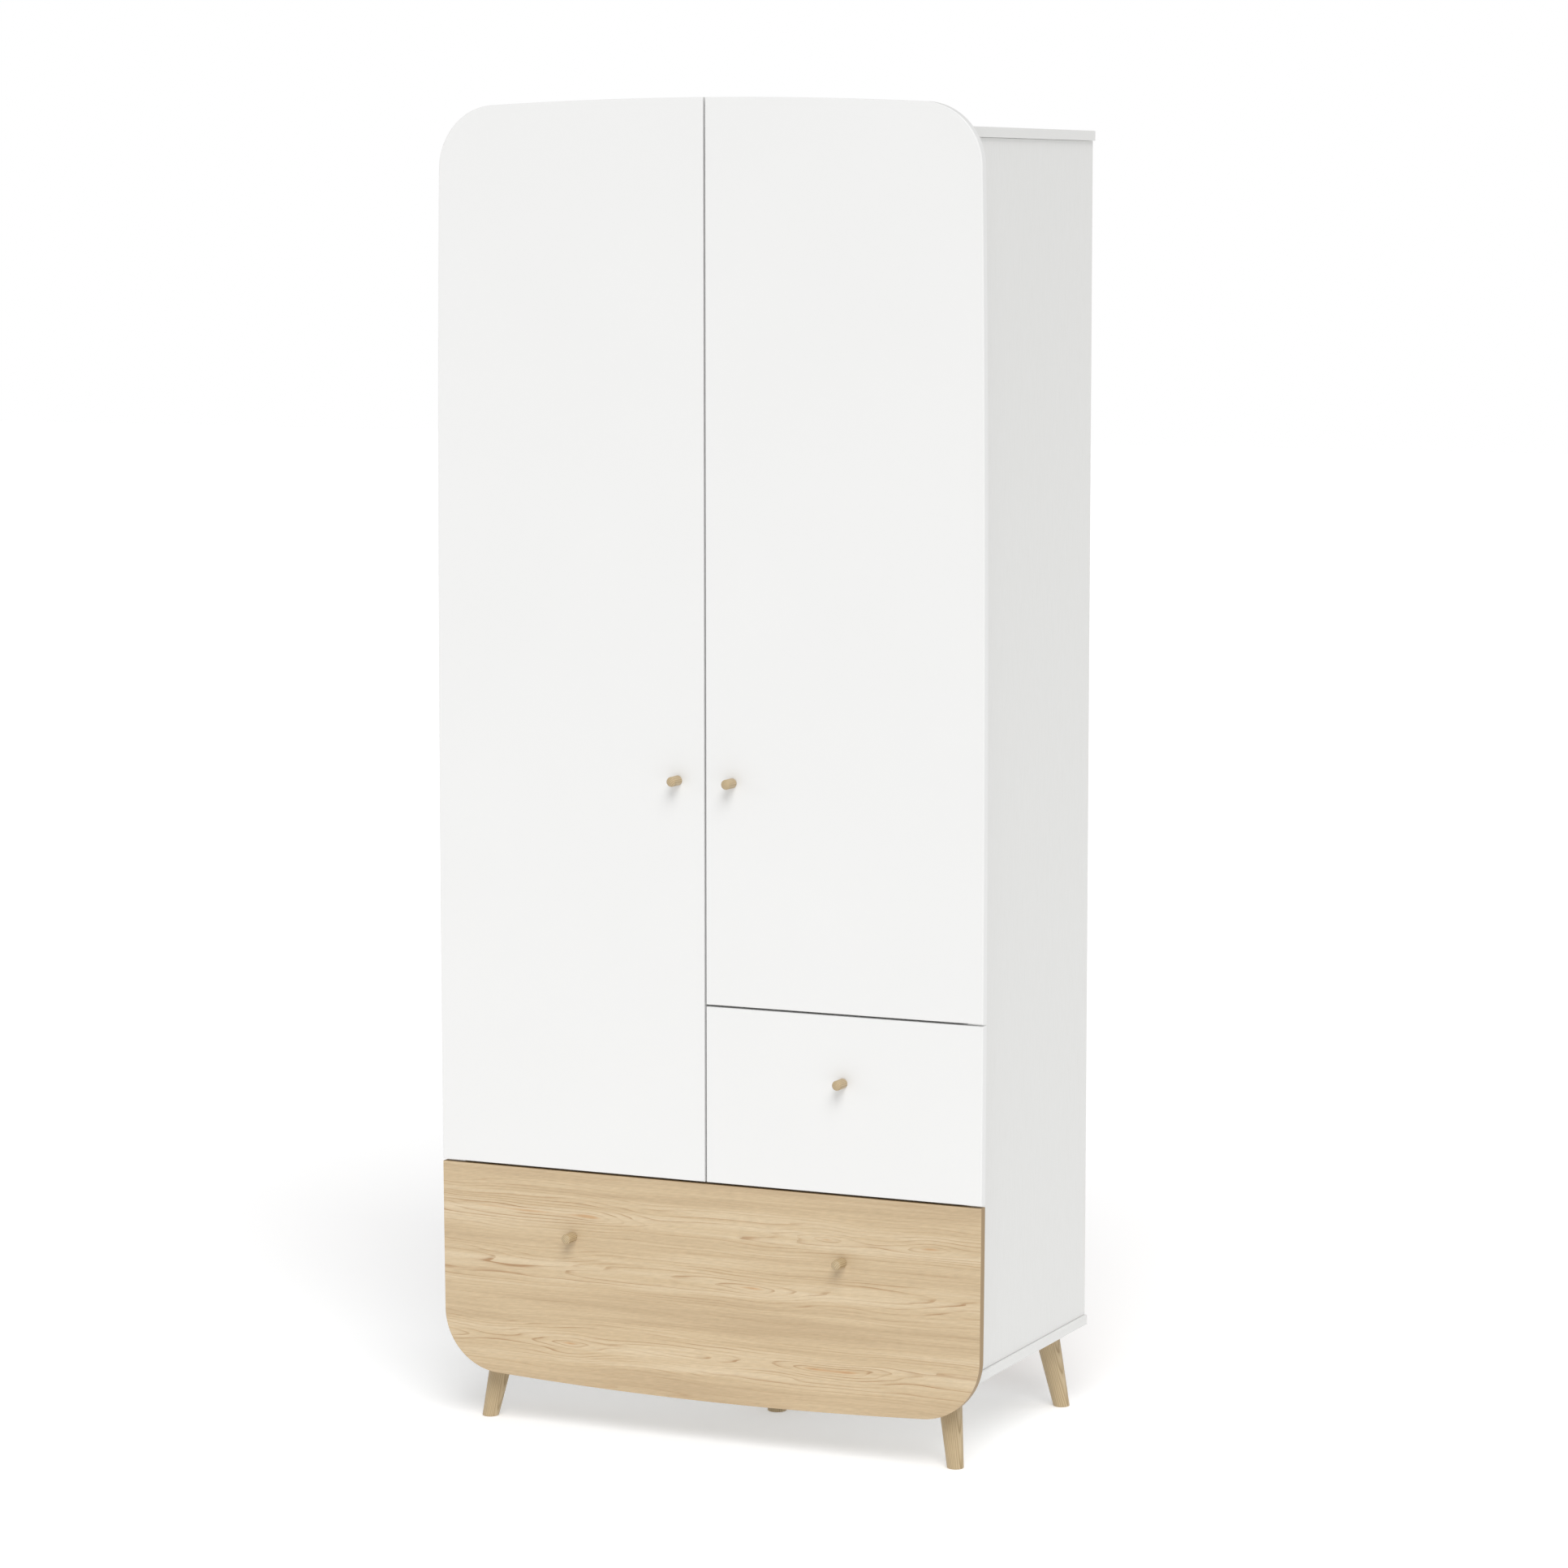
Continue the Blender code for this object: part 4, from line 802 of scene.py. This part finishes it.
# ---- Runners, rail and shelf pins ---------------------------------------------------------------
RUNNER_STEEL = 1.2 * MM
ROLLER_RADIUS = 6.4 * MM
ROLLER_WIDTH = 7 * MM
ROLLER_OFF_WALL = 2.2 * MM
MEMBER_SCREW = 6.5 * MM  # below the drawer member's upper edge
TRACK_TOP = 15.6 * MM  # above the cabinet member's lower edge
RAIL_FLANGE_RADIUS = 22 * MM
RAIL_FLANGE = 2.5 * MM
RAIL_COLLAR = 12 * MM
RAIL_SCREWS = 18 * MM
PIN_HOLE_RADIUS = 2.5 * MM
PIN_HOLE_DEPTH = 9 * MM
PIN_HOLE_STEP = 32 * MM
PIN_HOLES_ROUND = 2  # holes above and below a shelf's own
PIN_HOLE_INSET = 37 * MM  # from the shelf's front and rear edges
BUMPER_RADIUS = 2.8 * MM
BUMPER_HEIGHT = 2.1 * MM
BUMPER_AWAY = 4.6 * MM  # from the middle of the partition
MERGE = 1e-6
FLAT = 0.001


def roller(x, y, z, sign):
    """A nylon roller: a rim with softened edges round a dished web."""
    rim, width = ROLLER_RADIUS, ROLLER_WIDTH
    dish = [(0.45 * rim, width - 1.2 * MM), (0.75 * rim, width - 1.2 * MM), (0.8 * rim, width - 0.2 * MM)]
    edge = [(rim - 0.4 * MM, width), (rim, width - 0.4 * MM), (rim, 0.4 * MM), (rim - 0.4 * MM, 0)]
    hub = [(0.2 * rim, width), (0.4 * rim, width)]
    return turned([*hub, *dish, *edge], (x, y, z), (-sign, 0, 0), steps=40)


def make_runner_parts():
    rollers = {"carcass": [], "small_drawer": [], "large_drawer": []}
    for drawer in DRAWERS:
        for side, sign in SIDES:
            stem = f"{drawer}_drawer_runner_{side}"
            low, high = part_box(f"{stem}_cabinet_member")
            wall = high[0] if sign > 0 else low[0]
            roll_x = wall - sign * (ROLLER_OFF_WALL - PLAY)
            under = low[2] + RUNNER_STEEL + ROLLER_RADIUS + 0.1 * MM
            over = low[2] + TRACK_TOP + ROLLER_RADIUS + 0.1 * MM
            rollers["carcass"].append(roller(roll_x, low[1] + 12 * MM, under, sign))
            rollers[f"{drawer}_drawer"].append(roller(roll_x, high[1] - 12 * MM, over, sign))
            web = wall - sign * RUNNER_STEEL
            member_low, member_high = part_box(f"{stem}_drawer_member")
            box_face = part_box(f"{drawer}_drawer_side_{side}")[1 if sign > 0 else 0][0]
            outer = box_face + sign * (PLAY + RUNNER_STEEL)
            for share in (0.1, 0.5, 0.9):
                y = low[1] + share * (high[1] - low[1])
                SCREWS["carcass_flat"].append(((web, y, low[2] + 8 * MM), (-sign, 0, 0)))
                SCREWS[f"{drawer}_drawer"].append(((outer, y, member_high[2] - MEMBER_SCREW), (sign, 0, 0)))
    for body, bodies in rollers.items():
        finished(link_mesh(f"{body}_rollers", *joined(bodies), NYLON), body, "white_steel")


def make_rail():
    """The tube, and at each end a flanged socket that it sits in, held by two screws."""
    low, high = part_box("hanging_rail")
    radius = (high[2] - low[2]) / 2
    y, z = (low[1] + high[1]) / 2, (low[2] + high[2]) / 2
    bore, length = radius - 1.5 * MM, high[0] - low[0]
    wall = [(radius, 0), (radius, length), (bore, length), (bore, 0)]
    tube = turned(wall, (low[0], y, z), (1, 0, 0), steps=96, looped=True)
    finished(link_mesh("hanging_rail_tube", *tube, CHROME), "carcass", "chrome_tube", "hanging_rail")
    collar = radius + 0.3 * MM
    rim = RAIL_FLANGE_RADIUS
    profile = [(collar, 0.2 * MM), (rim, 0.2 * MM), (rim, 0.6 * RAIL_FLANGE), (0.96 * rim, RAIL_FLANGE)]
    profile += [(collar + 2.6 * MM, RAIL_FLANGE), (collar + 2 * MM, RAIL_FLANGE + 0.6 * MM)]
    profile += [(collar + 1.8 * MM, RAIL_COLLAR - 0.5 * MM), (collar + 1.3 * MM, RAIL_COLLAR)]
    profile += [(collar, RAIL_COLLAR)]
    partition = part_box("centre_partition")[0][0]
    sockets = []
    for x, outward in ((-SIDE_INNER_X, 1), (partition, -1)):
        sockets.append(turned(profile, (x, y, z), (outward, 0, 0), steps=96, looped=True))
        for rise in (-RAIL_SCREWS, RAIL_SCREWS):
            SCREWS["carcass"].append(((x + outward * RAIL_FLANGE, y, z + rise), (outward, 0, 0)))
    finished(link_mesh("hanging_rail_sockets", *joined(sockets), NICKEL), "carcass", "nickel_steel")


def drill(node, face_x, towards, places):
    """A copy of a board with round holes from one face: each hole is cut by a turned cylinder."""
    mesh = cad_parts[node].data.copy()
    merged = bmesh.new()
    merged.from_mesh(mesh)
    bmesh.ops.remove_doubles(merged, verts=merged.verts, dist=MERGE)
    bmesh.ops.dissolve_limit(merged, angle_limit=FLAT, verts=merged.verts, edges=merged.edges)
    merged.to_mesh(mesh)
    merged.free()
    piece = bpy.data.objects.new(f"{node}_drilled", mesh)
    mesh.materials.clear()
    mesh.materials.append(BOARD_UPRIGHT)
    bpy.context.scene.collection.objects.link(piece)
    hole = [(PIN_HOLE_RADIUS, 0), (PIN_HOLE_RADIUS, 2 * PIN_HOLE_DEPTH)]
    start = face_x + towards * PIN_HOLE_DEPTH
    cutters = [turned(hole, (start, y, z), (-towards, 0, 0), steps=24) for y, z in places]
    return finished(cut_by(piece, cutters), "carcass", "white_melamine", node)


def make_shelf_pins():
    """Holes for shelf pins beside each adjustable shelf, and four pins under it."""
    low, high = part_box("adjustable_shelf_lower")
    columns = (low[1] + PIN_HOLE_INSET, high[1] - PIN_HOLE_INSET)
    faces = ((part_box("centre_partition")[1][0], -1), (SIDE_INNER_X, 1))
    pin = [(PIN_HOLE_RADIUS - 0.15 * MM, -PIN_HOLE_DEPTH + 1 * MM), (PIN_HOLE_RADIUS - 0.15 * MM, 0)]
    pin += [(4 * MM, 0), (4 * MM, 1 * MM), (PIN_HOLE_RADIUS - 0.1 * MM, 1.2 * MM)]
    pin += [(PIN_HOLE_RADIUS - 0.1 * MM, 7.5 * MM), (PIN_HOLE_RADIUS - 0.7 * MM, 8 * MM)]
    places, pins = [], []
    for shelf in ("lower", "upper"):
        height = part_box(f"adjustable_shelf_{shelf}")[0][2] - PIN_HOLE_RADIUS
        for y in columns:
            steps = range(-PIN_HOLES_ROUND, PIN_HOLES_ROUND + 1)
            places += [(y, height + i * PIN_HOLE_STEP) for i in steps]
            pins += [turned(pin, (x, y, height), (-away, 0, 0), steps=24) for x, away in faces]
    drill("centre_partition", *faces[0], places)
    drill("right_side_panel", *faces[1], places)
    finished(link_mesh("shelf_pins", *joined(pins), ZINC), "carcass", "nickel_steel")


def make_bumpers():
    """Clear buffers on the partition's front edge, two for each door: shallow domes."""
    turn = np.linspace(0, 1.4, ROUND_STEPS + 1)
    dome = [(BUMPER_RADIUS * np.cos(t), BUMPER_HEIGHT * np.sin(t)) for t in turn]
    domes = []
    for side, sign in SIDES:
        for z in (hinge_heights(side)[0], hinge_heights(side)[-1]):
            place = (sign * BUMPER_AWAY, CARCASS_FRONT_Y, z)
            domes.append(turned(dome, place, (0, -1, 0), steps=32))
    finished(link_mesh("door_buffers", *joined(domes), NYLON), "carcass", "white_melamine")


# ---- Screws -------------------------------------------------------------------------------------
SCREW_RADIUS = 3.3 * MM
SCREW_HEIGHT = 1.0 * MM
FLAT_HEAD = 0.6 * MM  # in the cabinet runners, where the drawer member passes
RECESS_REACH = 0.62  # of the head's radius
RECESS_DEPTH = 1.6 * MM
RECESS_BAR = 0.16  # half width of a bar of the cross, of the head's radius


def screw_head(place, axis, height):
    """A pan head with a crossed recess, on polar rings. Its height is h (1 - (r / R) ^ 4). Where a point is
    in one of two crossed bars, it sinks by a depth that falls evenly from the middle to the recess's end."""
    u, v, w = frame_along(axis)
    share = np.concatenate([[1.0], np.linspace(1.0, 0.08, 12)])[:, None]
    angles = np.linspace(0, 2 * np.pi, 32, endpoint=False)
    across, up = share * np.cos(angles), share * np.sin(angles)
    bar = np.clip((RECESS_BAR - np.minimum(np.abs(across), np.abs(up))) / (0.3 * RECESS_BAR), 0, 1)
    sink = RECESS_DEPTH * bar * np.clip(1 - share / RECESS_REACH, 0, 1)
    level = height * (1 - share**4) + 0.25 * height - sink
    level[0] = 0
    flat = SCREW_RADIUS * (across[..., None] * u + up[..., None] * v)
    return skin(np.array(place, float) + flat + level[..., None] * w)


def make_screws():
    for body, places in SCREWS.items():
        height = FLAT_HEAD if body == "carcass_flat" else SCREW_HEIGHT
        heads = [screw_head(place, axis, height) for place, axis in places]
        piece = link_mesh(f"{body}_screws", *joined(heads), ZINC)
        finished(piece, "carcass" if body == "carcass_flat" else body, "nickel_steel")


# ---- Boards that stay as they are ---------------------------------------------------------------
def coat_boards():
    """Gives every carried node its finish, the grain running along the board."""
    finishes = {
        BOARD_LEVEL: ["top_panel", "bottom_panel", "drawer_deck", "small_drawer_shelf", "hat_shelf",
                      "adjustable_shelf_lower", "adjustable_shelf_upper", "small_drawer_back",
                      "large_drawer_back"],
        BOARD_UPRIGHT: ["left_side_panel", "right_side_panel", "centre_partition"],
        BOARD_DEEP: [f"{drawer}_drawer_side_{side}" for drawer in DRAWERS for side, _ in SIDES],
        HARDBOARD: ["back_panel", "small_drawer_bottom", "large_drawer_bottom"],
        CHROME: ["hanging_rail"],
        POWDER_COAT: [f"{drawer}_drawer_runner_{side}_{member}_member" for drawer in DRAWERS
                      for side, _ in SIDES for member in ("cabinet", "drawer")],
        NICKEL: [f"{side}_hinge_{place}_{leaf}" for side, _ in SIDES for place in ("bottom", "middle", "top")
                 for leaf in ("carcass_leaf", "door_leaf", "pin")],
    }
    for material, names in finishes.items():
        for name in names:
            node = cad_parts[name]
            node.data.materials.clear()
            node.data.materials.append(material)


# ---- Floor, light and camera --------------------------------------------------------------------
FLOOR_SIZE = 60.0
SKY = 0.46  # light from all round; the backdrop itself is plain white
FLOOR_GLOW = 0.26  # a floor of lit glass, so that shadows stay light
FLOOR_WHITE = "F1F1F1"
# Name, azimuth from the front to the right, elevation (degrees), strength and softness (degrees).
SUNS = [("key", 31, 46, 1.82, 34), ("side", 105, 45, 0.14, 30), ("fill", -65, 12, 0.15, 12)]
CAMERA_PLACE = (3.2094, -6.9066, 1.864)
CAMERA_YAW = 24.7744
CAMERA_DROP = 6.5821
CAMERA_LENS = 114.83


def add_floor():
    """A white floor, wide enough to fill the view to the horizon."""
    material, tree, shader, place = new_material("white_studio_floor", 0.9)
    cloud = grain(tree, place, (2000, 2000, 2000))
    colour = add(tree, "ValToRGB", {"Fac": cloud}, [(0.3, FLOOR_WHITE), (0.7, FLOOR_WHITE)])
    tree.links.new(colour.outputs[0], shader.inputs["Base Color"])
    shader.inputs["Specular IOR Level"].default_value = 0.0
    shader.inputs["Emission Color"].default_value = linear(1.0)
    shader.inputs["Emission Strength"].default_value = FLOOR_GLOW
    half = FLOOR_SIZE / 2
    corners = np.array([(-half, -half, 0), (half, -half, 0), (half, half, 0), (-half, half, 0)])
    mesh = bpy.data.meshes.new("studio_floor")
    mesh.from_pydata(corners, [], [[0, 1, 2, 3]])
    mesh.materials.append(material)
    floor = bpy.data.objects.new("studio_floor", mesh)
    bpy.context.scene.collection.objects.link(floor)


def add_sun(name, azimuth, elevation, strength, softness):
    """A soft sun. azimuth is counted from the front towards the right, in degrees."""
    light = bpy.data.lights.new(name, "SUN")
    light.energy = strength
    light.angle = math.radians(softness)
    lamp = bpy.data.objects.new(name, light)
    lamp.rotation_euler = (math.radians(90 - elevation), 0, math.radians(azimuth))
    bpy.context.scene.collection.objects.link(lamp)


def light_studio():
    """Even white light from all round, a large soft key from the front and right, and two weak fills."""
    world = bpy.data.worlds.new("white_studio")
    world.use_nodes = True
    tree = world.node_tree
    seen = add(tree, "LightPath").outputs["Is Camera Ray"]
    white = {"Color": linear(1.0), "Strength": 1.0}
    paper, sky = add(tree, "Background", white), add(tree, "Background", {**white, "Strength": SKY})
    mixed = add(tree, "MixShader", {0: seen, 1: sky.outputs[0], 2: paper.outputs[0]})
    tree.links.new(mixed.outputs[0], tree.nodes["World Output"].inputs["Surface"])
    bpy.context.scene.world = world
    for sun in SUNS:
        add_sun(*sun)
    bpy.context.scene.view_settings.view_transform = "Standard"


def add_camera():
    lens = bpy.data.cameras.new("camera")
    lens.lens = CAMERA_LENS
    lens.sensor_width = 36.0
    camera = bpy.data.objects.new("camera", lens)
    camera.location = CAMERA_PLACE
    camera.rotation_euler = (math.radians(90 - CAMERA_DROP), 0, math.radians(CAMERA_YAW))
    bpy.context.scene.collection.objects.link(camera)
    bpy.context.scene.camera = camera


add_camera()
light_studio()
add_floor()
make_fronts()
make_pegs()
make_legs()
coat_boards()
make_hinges()
make_runner_parts()
make_rail()
make_shelf_pins()
make_bumpers()
make_screws()
